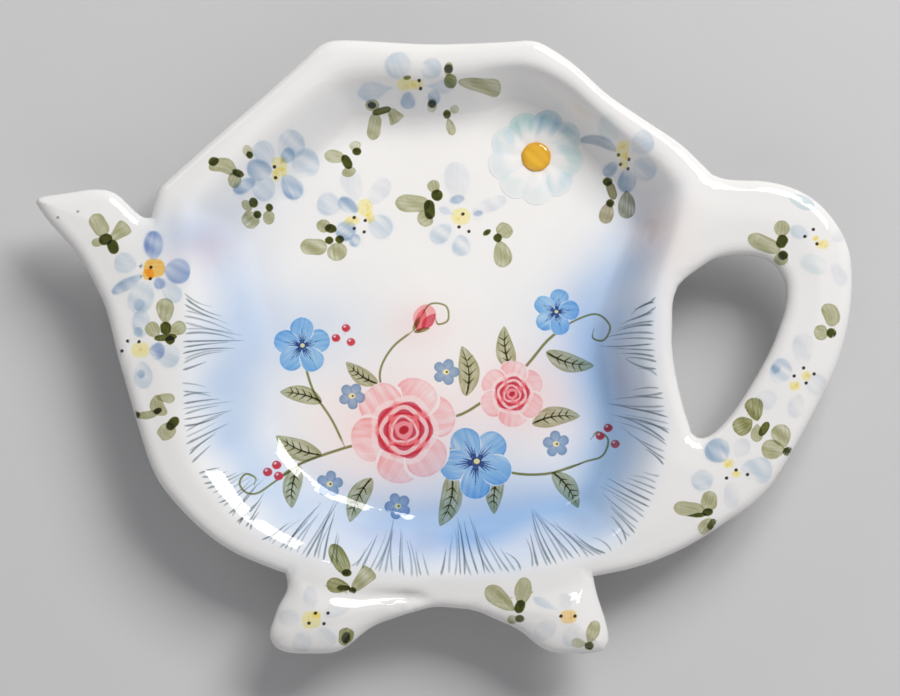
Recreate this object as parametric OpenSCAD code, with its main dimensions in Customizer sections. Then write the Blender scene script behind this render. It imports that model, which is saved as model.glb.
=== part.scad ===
// Teapot-shaped tea bag rest: a shallow glazed ceramic dish with a spout,
// a loop handle and two feet on its outline, a moulded daisy in its well
// and a plain foot ring underneath.
// Frame: the dish lies in use, well upwards. +X runs from spout to handle,
// +Y from the feet to the lid, +Z up. The origin is on the table, under the
// middle of the whole outline.

/* [Dish] */
// Height of the rim's top face above the table
rim_z = 13.0; // [11:0.5:16]
// Depth of the well below the rim
well_depth = 8.4; // [6:0.2:9]
// Thickness of the well's floor
floor_t = 3.0; // [2.4:0.2:3.6]
// Thickness of the flat rim, and of the limbs where they join it
rim_t = 4.0; // [3:0.2:5]
// How far the outer edge's rounding reaches in
edge_in = 1.3; // [0.6:0.1:1.6]
// How far the outer edge's rounding reaches down
edge_down = 1.7; // [0.8:0.1:1.9]

/* [Limbs] */
// Extra height of the handle's crown over the rim
handle_crown = 0.3; // [0:0.1:1]
// Extra height of each foot's crown over the rim
foot_crown = 1.0; // [0:0.1:1.5]
// Extra depth of each foot below the rim's underside
foot_belly = 1.6; // [0:0.1:2.5]

/* [Foot ring] */
// Outer radius of the foot ring
ring_r = 20.0; // [16:0.5:20]
// Width of the foot ring's wall
ring_w = 3.0; // [2:0.5:5]
// Radius of the rounding at the ring's lower edges
ring_round = 0.6; // [0.2:0.1:0.8]

/* [Moulded daisy] */
// Number of petals
petals = 9; // [6:1:12]
// Reach of the petals from the flower's middle
petal_reach = 6.9; // [5:0.1:7]
// Height of the petals above the well's floor
petal_h = 0.7; // [0.4:0.1:1.2]
// Radius of the button in the middle
button_r = 2.1; // [1.4:0.1:2.3]
// Height of the button above the well's floor
button_h = 1.4; // [1:0.1:2]

/* [Hidden] */

white = [0.93, 0.92, 0.91];
bisque = [0.86, 0.82, 0.75];
pale_blue = [0.74, 0.84, 0.90];
egg_yellow = [0.90, 0.68, 0.20];

floor_z = rim_z - well_depth;
base_z = floor_z - floor_t;
mid_c = [-3, 0];       // middle of the pot, to which the rim and wall run in
ring_c = [-2, 2];      // middle of the foot ring
daisy_c = [13.2, 27.4];
sub = 3;               // points from one row of the table to the next

// The pot and its lid from above, clockwise from the notch over the spout:
// x, y, width of the rim, width of the well's wall, and 1 where the outline
// turns a corner. Between two corners it is straight: a limb joins there.
rows = [
  [-41.3, 18.1, 4.8, 12.0, 1],
  [-40.3, 21.8, 3.8, 11.5, 0],
  [-38.4, 23.9, 3.4, 11.0, 0],
  [-32.4, 29.3, 2.6, 10.5, 0],
  [-26.3, 34.6, 2.2, 10.0, 0],
  [-20.4, 39.9, 2.2, 10.5, 0],
  [-17.8, 42.3, 2.6, 11.0, 0],
  [-15.5, 43.2, 2.6, 11.0, 0],
  [-11.5, 43.2, 2.3, 10.5, 0],
  [ -1.5, 42.7, 2.1, 9.8, 0],
  [  8.5, 43.0, 2.3, 8.6, 0],
  [ 12.1, 43.2, 2.4, 6.6, 0],
  [ 14.6, 42.4, 2.0, 5.8, 0],
  [ 18.7, 39.6, 1.5, 5.0, 0],
  [ 23.1, 35.6, 1.5, 4.8, 0],
  [ 28.3, 32.0, 1.8, 6.2, 0],
  [ 33.2, 28.7, 2.5, 7.8, 0],
  [ 36.1, 26.0, 3.2, 9.0, 0],
  [ 37.9, 24.2, 3.4, 9.5, 1],
  [ 35.4, 16.2, 2.8, 9.5, 1],
  [ 33.0,  8.4, 2.6, 9.0, 1],
  [ 32.3,  6.2, 2.5, 9.0, 0],
  [ 32.2,  3.5, 2.4, 9.0, 0],
  [ 32.2, -0.4, 2.4, 9.2, 0],
  [ 32.8, -4.6, 2.5, 9.6, 0],
  [ 33.7, -8.5, 2.6, 10.2, 0],
  [ 34.9, -12.3, 2.9, 10.8, 1],
  [ 32.9, -18.4, 2.4, 10.8, 1],
  [ 31.0, -24.4, 2.6, 11.0, 1],
  [ 29.0, -30.5, 3.8, 11.5, 1],
  [ 25.5, -31.5, 3.2, 10.5, 0],
  [ 21.0, -32.4, 2.8, 10.0, 1],
  [ 12.2, -34.7, 3.2, 9.4, 1],
  [  3.3, -37.0, 4.4, 9.2, 1],
  [ -1.1, -36.7, 4.2, 9.2, 0],
  [ -4.2, -37.4, 4.6, 9.2, 1],
  [-13.2, -34.7, 3.4, 9.6, 1],
  [-22.2, -32.0, 2.8, 11.0, 1],
  [-24.9, -31.0, 2.9, 11.6, 0],
  [-28.7, -29.4, 3.3, 12.4, 0],
  [-32.0, -27.4, 3.7, 13.0, 0],
  [-34.9, -25.0, 4.1, 13.4, 0],
  [-37.6, -22.2, 4.5, 13.7, 0],
  [-39.8, -19.4, 4.9, 13.9, 0],
  [-41.3, -16.4, 5.3, 14.0, 0],
  [-42.7, -12.1, 6.1, 14.0, 0],
  [-43.8, -8.5, 6.9, 14.0, 0],
  [-44.9, -4.7, 7.7, 14.0, 1],
  [-43.7,  2.9, 6.9, 13.5, 1],
  [-42.5, 10.5, 5.9, 13.0, 1]
];

// Upper and lower edge of the spout, from its root to its tip: x, y, x, y
spout_rows = [
  [-41.3, 18.1, -44.9, -4.7], [-42.4, 18.2, -46.0, -0.9],
  [-43.8, 19.3, -46.8, 2.5],  [-45.2, 20.7, -47.7, 5.6],
  [-46.6, 21.7, -48.8, 8.0],  [-48.4, 22.1, -50.2, 10.7],
  [-50.6, 22.0, -52.0, 13.4], [-53.0, 21.6, -54.0, 15.7],
  [-55.2, 21.3, -55.8, 17.7], [-56.8, 21.0, -57.0, 19.4],
  [-57.4, 20.6, -57.5, 20.1]
];

// Outer and inner edge of the handle, from its upper root to its lower one
handle_rows = [
  [37.9, 24.2, 33.0, 8.4],   [39.6, 23.6, 34.2, 9.6],
  [41.9, 23.4, 36.0, 10.9],  [44.9, 23.3, 37.9, 12.1],
  [47.6, 22.8, 39.8, 12.6],  [49.9, 22.0, 41.8, 12.8],
  [52.0, 20.8, 43.6, 12.7],  [54.0, 19.0, 45.2, 12.3],
  [55.7, 16.7, 46.6, 11.4],  [56.9, 14.2, 47.5, 10.2],
  [57.4, 11.8, 48.1, 8.7],   [57.5, 8.8, 48.2, 6.8],
  [57.3, 5.6, 47.9, 4.7],    [56.8, 2.4, 47.2, 2.6],
  [55.9, -0.9, 46.4, 0.4],   [54.7, -4.2, 45.3, -1.9],
  [53.1, -7.4, 44.0, -4.2],  [51.4, -10.6, 42.6, -6.5],
  [49.6, -13.8, 41.2, -8.6], [47.6, -17.2, 40.0, -10.2],
  [45.4, -20.3, 38.9, -11.4], [42.8, -22.7, 37.9, -12.3],
  [39.8, -24.7, 37.0, -12.8], [36.6, -26.8, 36.2, -13.0],
  [33.0, -28.8, 35.5, -12.8], [29.0, -30.5, 34.9, -12.3]
];

// Outer and inner edge of each foot, from its root to its flat end
left_foot_rows = [
  [-22.2, -32.0, -4.2, -37.4], [-21.9, -33.4, -5.6, -37.8],
  [-22.2, -34.8, -7.0, -38.3], [-23.1, -36.4, -8.5, -38.8],
  [-23.8, -38.3, -10.0, -39.5], [-24.3, -39.9, -11.3, -40.4],
  [-24.2, -41.3, -12.6, -41.5], [-23.4, -42.4, -13.8, -42.4],
  [-22.0, -43.0, -15.2, -43.0], [-20.2, -43.2, -16.8, -43.2]
];
right_foot_rows = [
  [21.0, -32.4, 3.3, -37.0], [21.3, -34.0, 5.0, -37.4],
  [21.8, -35.8, 6.6, -38.1], [22.4, -37.6, 8.2, -38.8],
  [22.9, -39.4, 9.8, -39.5], [23.1, -40.8, 11.2, -40.4],
  [22.9, -42.0, 12.6, -41.6], [22.2, -42.8, 13.9, -42.5],
  [21.0, -43.1, 15.3, -43.0], [19.6, -43.2, 16.8, -43.2]
];

function smooth(t) = t * t * (3 - 2 * t);
function lerp(a, b, t) = a + (b - a) * t;
function unit(v) = v / norm(v);
function cr(p0, p1, p2, p3, t) =
  0.5 * (2 * p1 + (p2 - p0) * t + (2 * p0 - 5 * p1 + 4 * p2 - p3) * t * t
         + (3 * p1 - p0 - 3 * p2 + p3) * t * t * t);
function row(i) = rows[(i + len(rows)) % len(rows)];
function xy(r) = [r[0], r[1]];

// Point k of the outline: a curve through the rows that breaks at corners
function outline_at(i, t) =
  let (p1 = xy(row(i)), p2 = xy(row(i + 1)),
       p0 = row(i)[4] == 1 ? 2 * p1 - p2 : xy(row(i - 1)),
       p3 = row(i + 1)[4] == 1 ? 2 * p2 - p1 : xy(row(i + 2)))
  cr(p0, p1, p2, p3, t);
function width_at(i, t, k) =
  cr(row(i - 1)[k], row(i)[k], row(i + 1)[k], row(i + 2)[k], t);
// 0 on a stretch that a limb joins, 1 where the edge is free
function free_at(i, t) =
  let (a = row(i)[4] == 1, b = row(i + 1)[4] == 1)
  a && b ? 0 : a ? smooth(t) : b ? smooth(1 - t) : 1;

outer = [for (i = [0:len(rows) - 1], s = [0:sub - 1]) outline_at(i, s / sub)];
rim_w = [for (i = [0:len(rows) - 1], s = [0:sub - 1]) width_at(i, s / sub, 2)];
wall_w = [for (i = [0:len(rows) - 1], s = [0:sub - 1]) width_at(i, s / sub, 3)];
free = [for (i = [0:len(rows) - 1], s = [0:sub - 1]) free_at(i, s / sub)];
inward = [for (p = outer) unit(mid_c - p)];
n_out = len(outer);
shoulder = [for (i = [0:n_out - 1]) outer[i] + inward[i] * rim_w[i]];
well_foot = [for (i = [0:n_out - 1]) shoulder[i] + inward[i] * wall_w[i]];

wall_steps = [0, 0.14, 0.28, 0.42, 0.56, 0.7, 0.85, 1];
edge_n = 4;

function at_z(p, z) = [p[0], p[1], z];
// Rings of the dish, from the middle of its underside out, over the rim and
// down to the well's floor
function under_ring(t) = [for (i = [0:n_out - 1])
  at_z(lerp(shoulder[i], well_foot[i], t) - inward[i] * 0.5 * sin(180 * t),
       lerp(rim_z - rim_t, base_z, smooth(t)))];
function edge_ring(k, top) = [for (i = [0:n_out - 1])
  let (a = 90 * k / edge_n, w = free[i],
       drop = edge_down * (w * (1 - cos(a)) + (1 - w) * k / edge_n))
  at_z(outer[i] + inward[i] * w * edge_in * (1 - sin(a)),
       top ? rim_z - drop : rim_z - rim_t + drop)];
function wall_ring(t) = [for (i = [0:n_out - 1])
  at_z(lerp(shoulder[i], well_foot[i], t), rim_z - well_depth * smooth(t))];

dish_rings = concat(
  [for (k = [len(wall_steps) - 1:-1:0]) under_ring(wall_steps[k])],
  [for (k = [0:edge_n]) edge_ring(k, false)],
  [for (k = [edge_n:-1:0]) edge_ring(k, true)],
  [for (t = wall_steps) wall_ring(t)]);

// A closed solid through rings of the same length, flat at both ends
module loft(rings) {
  n = len(rings[0]);
  m = len(rings);
  polyhedron(
    points = [for (r = rings) each r],
    faces = concat(
      [[for (i = [0:n - 1]) i]],
      [for (k = [0:m - 2], i = [0:n - 1])
        let (j = (i + 1) % n)
        each [[k * n + i, (k + 1) * n + i, k * n + j],
              [k * n + j, (k + 1) * n + i, (k + 1) * n + j]]],
      [[for (i = [n - 1:-1:0]) (m - 1) * n + i]]),
    convexity = 6);
}

function limb_point(r, k, j) = k == 0 ? r[j] : r[j + 2];
function limb_row(t, n) =
  let (x = t * (len(n) - 1), i = min(floor(x), len(n) - 2), f = x - i,
       a = n[max(i - 1, 0)], b = n[i], c = n[i + 1],
       d = n[min(i + 2, len(n) - 1)],
       p0 = i == 0 ? 2 * b - c : a, p3 = i == len(n) - 2 ? 2 * c - b : d)
  cr(p0, b, c, p3, f);
function spow(x, e) = sign(x) * pow(abs(x), e);

// One cross-section of a limb between its two edges. squareness 0.2 is
// nearly a rectangle and 0.9 nearly an ellipse.
function limb_ring(r, up, down, e, n) =
  let (a = [r[0], r[1]], b = [r[2], r[3]], m = (a + b) / 2, h = (b - a) / 2)
  [for (j = [0:n - 1])
    let (q = 360 * (j + 0.5) / n, c = spow(cos(q), e), s = spow(sin(q), e),
         p = m + h * c)
    at_z(p, rim_z - rim_t / 2 + s * (s > 0 ? up : down))];

// crown and belly swell over the first part of the limb; both_ends is for a
// limb that comes back to the dish
module limb(table, steps, crown, belly, both_ends, flip) {
  n = 16;
  rings = [for (k = [0:steps])
    let (t = k / steps,
         near = both_ends ? min(t, 1 - t) * 2 : t,
         g = smooth(min(1, near / 0.3)),
         taper = both_ends ? 1 : 1 - 0.12 * smooth(t))
    limb_ring(limb_row(t, table), (rim_t / 2 + crown * g) * taper,
              (rim_t / 2 + belly * g) * taper, lerp(0.22, 0.72, g), n)];
  loft(flip ? [for (k = [steps:-1:0]) rings[k]] : rings);
}

module dish_body() {
  color(white) loft(dish_rings);
}

module spout() {
  color(white) limb(spout_rows, 20, 0, 0, false, true);
}

module handle() {
  color(white) limb(handle_rows, 50, handle_crown, 0, true, true);
}

module left_foot() {
  color(white) limb(left_foot_rows, 18, foot_crown, foot_belly, false, false);
}

module right_foot() {
  color(white) limb(right_foot_rows, 18, foot_crown, foot_belly, false, true);
}

module foot_ring() {
  r = ring_round;
  color(bisque)
  translate(at_z(ring_c, 0))
  rotate_extrude($fn = 96)
  polygon([
    for (a = [180:15:270])
      [ring_r - ring_w + r + r * cos(a), r + r * sin(a)],
    for (a = [270:15:360]) [ring_r - r + r * cos(a), r + r * sin(a)],
    [ring_r, base_z],
    [ring_r - ring_w, base_z]
  ]);
}

// One petal's outline, narrow at the flower's middle and broad at its end
function petal_outline(reach, half_w) = [for (a = [0:15:345])
  let (u = (1 - cos(a)) / 2)
  [lerp(1.2, reach, u), half_w * sin(a) * (0.45 + 0.75 * u)]];

module daisy_petals() {
  color(pale_blue)
  translate(at_z(daisy_c, floor_z))
  linear_extrude(height = petal_h)
  difference() {
    union()
      for (k = [0:petals - 1])
        rotate(360 * (k + 0.3) / petals)
        polygon(petal_outline(petal_reach, petal_reach * sin(180 / petals)));
    circle(r = button_r, $fn = 48);
  }
}

module daisy_button() {
  color(egg_yellow)
  translate(at_z(daisy_c, floor_z))
  rotate_extrude($fn = 48)
  polygon([
    [0, 0], [button_r, 0], [button_r, petal_h],
    for (a = [15:15:90])
      [button_r * cos(a), petal_h + (button_h - petal_h) * sin(a)]
  ]);
}

dish_body();
spout();
handle();
left_foot();
right_foot();
foot_ring();
daisy_petals();
daisy_button();
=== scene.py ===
import math
import random

import bpy
import numpy as np
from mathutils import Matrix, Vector
from mathutils.geometry import delaunay_2d_cdt


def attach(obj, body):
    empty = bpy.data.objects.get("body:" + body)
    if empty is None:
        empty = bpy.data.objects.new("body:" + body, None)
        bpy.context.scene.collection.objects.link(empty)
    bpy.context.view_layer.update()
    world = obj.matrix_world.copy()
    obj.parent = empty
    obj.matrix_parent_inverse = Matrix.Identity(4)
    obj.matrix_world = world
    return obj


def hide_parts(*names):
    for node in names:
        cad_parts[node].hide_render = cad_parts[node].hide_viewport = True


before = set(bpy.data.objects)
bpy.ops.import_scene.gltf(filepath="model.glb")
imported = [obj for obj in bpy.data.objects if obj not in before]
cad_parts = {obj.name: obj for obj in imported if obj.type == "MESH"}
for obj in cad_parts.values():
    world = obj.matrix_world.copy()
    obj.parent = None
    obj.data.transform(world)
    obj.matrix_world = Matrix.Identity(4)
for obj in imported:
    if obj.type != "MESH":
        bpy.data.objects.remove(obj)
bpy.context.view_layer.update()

MM = 0.001
RIM_Z = 13.0        # top of the rim above the table
MID_Z = 11.0        # middle of the rim's thickness
WELL = 8.4          # depth of the well
UNDER = 7.4         # how far the underside of the floor lies below the rim's

# ---------------------------------------------------------------- outline

# x, y, rim width, wall width, 1 at a corner; between two corners a limb joins
ROWS = [
    (-41.3, 18.1, 4.8, 12.5, 1), (-40.3, 21.8, 3.8, 12.3, 0),
    (-38.4, 23.9, 3.4, 11.0, 0), (-32.4, 29.3, 2.6, 10.5, 0),
    (-26.3, 34.6, 2.2, 10.0, 0), (-20.4, 39.9, 2.2, 10.5, 0),
    (-17.8, 42.3, 2.6, 11.0, 0), (-15.5, 43.2, 2.6, 11.0, 0),
    (-11.5, 43.2, 2.3, 10.5, 0), (-1.5, 42.7, 2.1, 9.8, 0),
    (8.5, 43.0, 2.5, 8.6, 0), (12.1, 43.2, 2.9, 6.6, 0),
    (14.6, 42.4, 2.8, 5.6, 0), (18.7, 39.6, 2.4, 4.9, 0),
    (23.1, 35.6, 2.4, 4.8, 0), (28.3, 32.0, 2.6, 6.2, 0),
    (33.2, 28.7, 2.9, 7.8, 0), (36.1, 26.0, 3.3, 9.0, 0),
    (37.9, 24.2, 3.4, 9.5, 1), (35.4, 16.2, 2.8, 9.5, 1),
    (33.0, 8.4, 2.6, 9.0, 1), (32.3, 6.2, 2.5, 9.0, 0),
    (32.2, 3.5, 2.4, 9.0, 0), (32.2, -0.4, 2.4, 9.2, 0),
    (32.8, -4.6, 2.5, 9.6, 0), (33.7, -8.5, 2.6, 10.2, 0),
    (34.9, -12.3, 2.9, 10.8, 1), (32.9, -18.4, 2.4, 10.8, 1),
    (31.0, -24.4, 2.6, 11.0, 1), (29.0, -30.5, 3.8, 11.5, 1),
    (25.5, -31.5, 3.2, 10.5, 0), (21.0, -32.4, 2.8, 10.0, 1),
    (12.2, -34.7, 3.2, 9.4, 1), (3.3, -37.0, 4.4, 9.2, 1),
    (-1.1, -36.7, 4.2, 9.2, 0), (-4.2, -37.4, 4.6, 9.2, 1),
    (-13.2, -34.7, 3.4, 9.6, 1), (-22.2, -32.0, 2.8, 11.0, 1),
    (-24.9, -31.0, 2.9, 11.6, 0), (-28.7, -29.4, 3.3, 12.4, 0),
    (-32.0, -27.4, 3.7, 13.0, 0), (-34.9, -25.0, 4.1, 13.4, 0),
    (-37.6, -22.2, 4.5, 13.7, 0), (-39.8, -19.4, 4.9, 13.9, 0),
    (-41.3, -16.4, 5.3, 14.0, 0), (-42.7, -12.1, 6.1, 14.0, 0),
    (-43.8, -8.5, 6.9, 14.0, 0), (-44.9, -4.7, 7.7, 14.0, 1),
    (-43.7, 2.9, 6.9, 13.5, 1), (-42.5, 10.5, 5.9, 12.7, 1),
]
SPOUT = [
    (-41.3, 18.1, -44.9, -4.7), (-42.4, 18.2, -46.0, -0.9),
    (-43.8, 19.3, -46.8, 2.5), (-45.2, 20.7, -47.7, 5.6),
    (-46.6, 21.7, -48.8, 8.0), (-48.4, 22.1, -50.2, 10.7),
    (-50.6, 22.0, -52.0, 13.4), (-53.0, 21.6, -54.0, 15.7),
    (-55.2, 21.3, -55.8, 17.7), (-56.8, 21.0, -57.0, 19.4),
    (-57.4, 20.6, -57.5, 20.1),
]
HANDLE = [
    (37.9, 24.2, 33.0, 8.4), (39.6, 23.6, 34.2, 9.6),
    (41.9, 23.4, 36.0, 10.9), (44.9, 23.3, 37.9, 12.1),
    (47.6, 22.8, 39.8, 12.6), (49.9, 22.0, 41.8, 12.8),
    (52.0, 20.8, 43.6, 12.7), (54.0, 19.0, 45.2, 12.3),
    (55.7, 16.7, 46.6, 11.4), (56.9, 14.2, 47.5, 10.2),
    (57.4, 11.8, 48.1, 8.7), (57.5, 8.8, 48.2, 6.8),
    (57.3, 5.6, 47.9, 4.7), (56.8, 2.4, 47.2, 2.6),
    (55.9, -0.9, 46.4, 0.4), (54.7, -4.2, 45.3, -1.9),
    (53.1, -7.4, 44.0, -4.2), (51.4, -10.6, 42.6, -6.5),
    (49.6, -13.8, 41.2, -8.6), (47.6, -17.2, 40.0, -10.2),
    (45.4, -20.3, 38.9, -11.4), (42.8, -22.7, 37.9, -12.3),
    (39.8, -24.7, 37.0, -12.8), (36.6, -26.8, 36.2, -13.0),
    (33.0, -28.8, 35.5, -12.8), (29.0, -30.5, 34.9, -12.3),
]
LEFT_FOOT = [
    (-22.2, -32.0, -4.2, -37.4), (-21.9, -33.4, -5.6, -37.8),
    (-22.2, -34.8, -7.0, -38.3), (-23.1, -36.4, -8.5, -38.8),
    (-23.8, -38.3, -10.0, -39.5), (-24.3, -39.9, -11.3, -40.4),
    (-24.2, -41.3, -12.6, -41.5), (-23.4, -42.4, -13.8, -42.4),
    (-22.0, -43.0, -15.2, -43.0), (-20.2, -43.2, -16.8, -43.2),
]
RIGHT_FOOT = [
    (21.0, -32.4, 3.3, -37.0), (21.3, -34.0, 5.0, -37.4),
    (21.8, -35.8, 6.6, -38.1), (22.4, -37.6, 8.2, -38.8),
    (22.9, -39.4, 9.8, -39.5), (23.1, -40.8, 11.2, -40.4),
    (22.9, -42.0, 12.6, -41.6), (22.2, -42.8, 13.9, -42.5),
    (21.0, -43.1, 15.3, -43.0), (19.6, -43.2, 16.8, -43.2),
]
MID = np.array([-3.0, 0.0])
RING_C = (-2.0, 2.0)
DAISY = (13.2, 27.4)


def smooth(t):
    t = np.clip(t, 0.0, 1.0)
    return t * t * (3 - 2 * t)


def catmull(p0, p1, p2, p3, t):
    p0, p1, p2, p3 = (np.asarray(p, float) for p in (p0, p1, p2, p3))
    return 0.5 * (2 * p1 + (p2 - p0) * t + (2 * p0 - 5 * p1 + 4 * p2 - p3) * t * t
                  + (3 * p1 - p0 - 3 * p2 + p3) * t ** 3)


def spline(points, sub):
    """An open curve through the points, both ends kept."""
    pts = [np.array(p, float) for p in points]
    pts = [2 * pts[0] - pts[1]] + pts + [2 * pts[-1] - pts[-2]]
    out = []
    for i in range(1, len(pts) - 2):
        for s in range(sub):
            out.append(catmull(*pts[i - 1:i + 3], s / sub))
    out.append(pts[-2])
    return out


RINGS = (0.03, 0.1, 0.22, 0.4, 0.64, 0.95, 1.35, 1.85)


def steps_between(length, fine_start, fine_end, coarse):
    """Places along a straight stretch, close together at a rounded end."""
    near = [0.0] + [r * 1.04 for r in RINGS]
    a = near if fine_start else [0.0]
    b = [length - r for r in reversed(near)] if fine_end else [length]
    n = max(1, round((b[0] - a[-1]) / coarse))
    mid = [a[-1] + (b[0] - a[-1]) * i / n for i in range(1, n)]
    return [x / length for x in a + mid + b[:-1 if not fine_end else len(b) - 1]]


def body_outline(sub):
    n = len(ROWS)
    pts, rim, wall, joined, start = [], [], [], [], []
    for i in range(n):
        a, b, c, d = ROWS[i - 1], ROWS[i], ROWS[(i + 1) % n], ROWS[(i + 2) % n]
        p1, p2 = np.array(b[:2]), np.array(c[:2])
        p0 = 2 * p1 - p2 if b[4] else np.array(a[:2])
        p3 = 2 * p2 - p1 if c[4] else np.array(d[:2])
        start.append(len(pts))
        if b[4] and c[4]:
            ts = steps_between(float(np.linalg.norm(p2 - p1)), not a[4], not d[4], 0.6)
        else:
            ts = [s / sub for s in range(sub)]
        for t in ts:
            pts.append(catmull(p0, p1, p2, p3, t))
            rim.append(float(catmull(a[2], b[2], c[2], d[2], t)))
            wall.append(float(catmull(a[3], b[3], c[3], d[3], t)))
            joined.append(bool(b[4] and c[4]))
    return np.array(pts), np.array(rim), np.array(wall), joined, start


SUB = 8
BODY, RIM_W, WALL_W, JOINED, ROW_AT = body_outline(SUB)
INWARD = MID - BODY
INWARD /= np.linalg.norm(INWARD, axis=1)[:, None]
SHOULDER = BODY + INWARD * RIM_W[:, None]
WELL_FOOT = SHOULDER + INWARD * WALL_W[:, None]


def body_run(a, b):
    """The pot's own outline points from row a to row b, both included."""
    n = len(BODY)
    i, j = ROW_AT[a], ROW_AT[b % len(ROWS)]
    idx = []
    k = i
    while True:
        idx.append(k % n)
        if k % n == j:
            break
        k += 1
    return [BODY[q] for q in idx]


def limb_edge(table, k, sub):
    return spline([(r[2 * k], r[2 * k + 1]) for r in table], sub)


def joined_loop(parts):
    """One closed loop from runs that share their end points; each run is
    (points, free). Returns the points and, for each edge, whether it is free."""
    pts, free = [], []
    for run, is_free in parts:
        for p in run[:-1]:
            pts.append(p)
            free.append(is_free)
    return np.array(pts), np.array(free)


def reverse(run):
    return list(reversed(run))


LOOPS = {
    "dish_body": (BODY, np.array([not j for j in JOINED])),
    "spout": joined_loop([
        (limb_edge(SPOUT, 0, 4), True),
        ([np.array(SPOUT[-1][:2]), np.array(SPOUT[-1][2:])], True),
        (reverse(limb_edge(SPOUT, 1, 5)), True),
        (body_run(47, 50), False)]),
    "handle": joined_loop([
        (limb_edge(HANDLE, 0, 5), True),
        (reverse(body_run(26, 29)), False),
        (reverse(limb_edge(HANDLE, 1, 4)), True),
        (reverse(body_run(18, 20)), False)]),
    "left_foot": joined_loop([
        (limb_edge(LEFT_FOOT, 0, 4), True),
        (spline([LEFT_FOOT[-1][:2], LEFT_FOOT[-1][2:]], 5), True),
        (reverse(limb_edge(LEFT_FOOT, 1, 4)), True),
        (body_run(35, 37), False)]),
    "right_foot": joined_loop([
        (limb_edge(RIGHT_FOOT, 1, 4), True),
        (spline([RIGHT_FOOT[-1][2:], RIGHT_FOOT[-1][:2]], 5), True),
        (reverse(limb_edge(RIGHT_FOOT, 0, 4)), True),
        (body_run(31, 33), False)]),
}


def segments_of(loop, mask):
    a = loop[mask]
    b = np.roll(loop, -1, axis=0)[mask]
    return a, b


FREE_A = np.concatenate([segments_of(*LOOPS[k])[0] for k in LOOPS])
FREE_B = np.concatenate([segments_of(*LOOPS[k])[1] for k in LOOPS])


def seg_dist(P, A, B, chunk=4000):
    """Distance from each point to the nearest of the segments."""
    P = np.asarray(P, float)
    out = np.empty(len(P))
    D = B - A
    L = np.maximum((D ** 2).sum(1), 1e-12)
    for s in range(0, len(P), chunk):
        p = P[s:s + chunk]
        v = p[:, None, :] - A[None]
        t = np.clip((v * D[None]).sum(2) / L[None], 0, 1)
        q = v - t[..., None] * D[None]
        out[s:s + chunk] = np.sqrt((q ** 2).sum(2).min(1))
    return out


def inside(P, loop, chunk=8000):
    P = np.asarray(P, float)
    lo, hi = loop.min(0) - 0.01, loop.max(0) + 0.01
    may = np.flatnonzero(((P > lo) & (P < hi)).all(1))
    full = np.zeros(len(P), bool)
    if len(may) < 0.7 * len(P):
        if len(may):
            full[may] = inside(P[may], loop, chunk)
        return full
    a, b = loop, np.roll(loop, -1, axis=0)
    out = np.empty(len(P), bool)
    for s in range(0, len(P), chunk):
        x, y = P[s:s + chunk, 0:1], P[s:s + chunk, 1:2]
        cross = (a[None, :, 1] > y) != (b[None, :, 1] > y)
        dy = b[:, 1] - a[:, 1]
        dy = np.where(np.abs(dy) < 1e-12, 1e-12, dy)
        xi = a[None, :, 0] + (y - a[None, :, 1]) * ((b[:, 0] - a[:, 0]) / dy)[None]
        out[s:s + chunk] = (cross & (x < xi)).sum(1) % 2 == 1
    return out


def distance_map():
    step = 0.4
    gx, gy = np.arange(-59.0, 60.0, step), np.arange(-45.0, 46.0, step)
    xx, yy = np.meshgrid(gx, gy)
    d = seg_dist(np.stack([xx.ravel(), yy.ravel()], 1), FREE_A, FREE_B)
    return gx, gy, step, d.reshape(xx.shape)


D_MAP = distance_map()


def near_dist(P, limit):
    """Distance from the free outline: exact up to limit, from a map beyond."""
    P = np.asarray(P, float)
    gx, gy, step, m = D_MAP
    fx = np.clip((P[:, 0] - gx[0]) / step, 0, len(gx) - 1.001)
    fy = np.clip((P[:, 1] - gy[0]) / step, 0, len(gy) - 1.001)
    ix, iy = fx.astype(int), fy.astype(int)
    u, v = fx - ix, fy - iy
    d = (m[iy, ix] * (1 - u) * (1 - v) + m[iy, ix + 1] * u * (1 - v)
         + m[iy + 1, ix] * (1 - u) * v + m[iy + 1, ix + 1] * u * v)
    k = np.flatnonzero(d < limit + 0.4)
    if len(k):
        d[k] = seg_dist(P[k], FREE_A, FREE_B)
    return d


def free_dist(P):
    return near_dist(P, 5.4)


# ------------------------------------------------------- height of the glaze

GRID = 0.35
GX = np.arange(-47.0, 42.0, GRID)
GY = np.arange(-42.0, 48.0, GRID)


def gauss_rows(a, sigma):
    r = int(4 * sigma / GRID) + 1
    k = np.exp(-0.5 * (np.arange(-r, r + 1) * GRID / sigma) ** 2)
    k /= k.sum()
    pad = np.pad(a, ((0, 0), (r, r)), mode="edge")
    return sum(k[i] * pad[:, i:i + a.shape[1]] for i in range(2 * r + 1))


def gauss(a, sigma):
    return gauss_rows(gauss_rows(a, sigma).T, sigma).T


def well_param():
    xx, yy = np.meshgrid(GX, GY)
    P = np.stack([xx.ravel(), yy.ravel()], 1)
    sh, wf = SHOULDER[::2], WELL_FOOT[::2]
    ds = seg_dist(P, sh, np.roll(sh, -1, axis=0))
    df = seg_dist(P, wf, np.roll(wf, -1, axis=0))
    t = ds / (ds + df)
    t[~inside(P, sh)] = 0
    t[inside(P, wf)] = 1
    ds[~inside(P, sh)] *= -1
    return t.reshape(xx.shape), ds.reshape(xx.shape)


WELL_T, WELL_IN = well_param()


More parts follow.
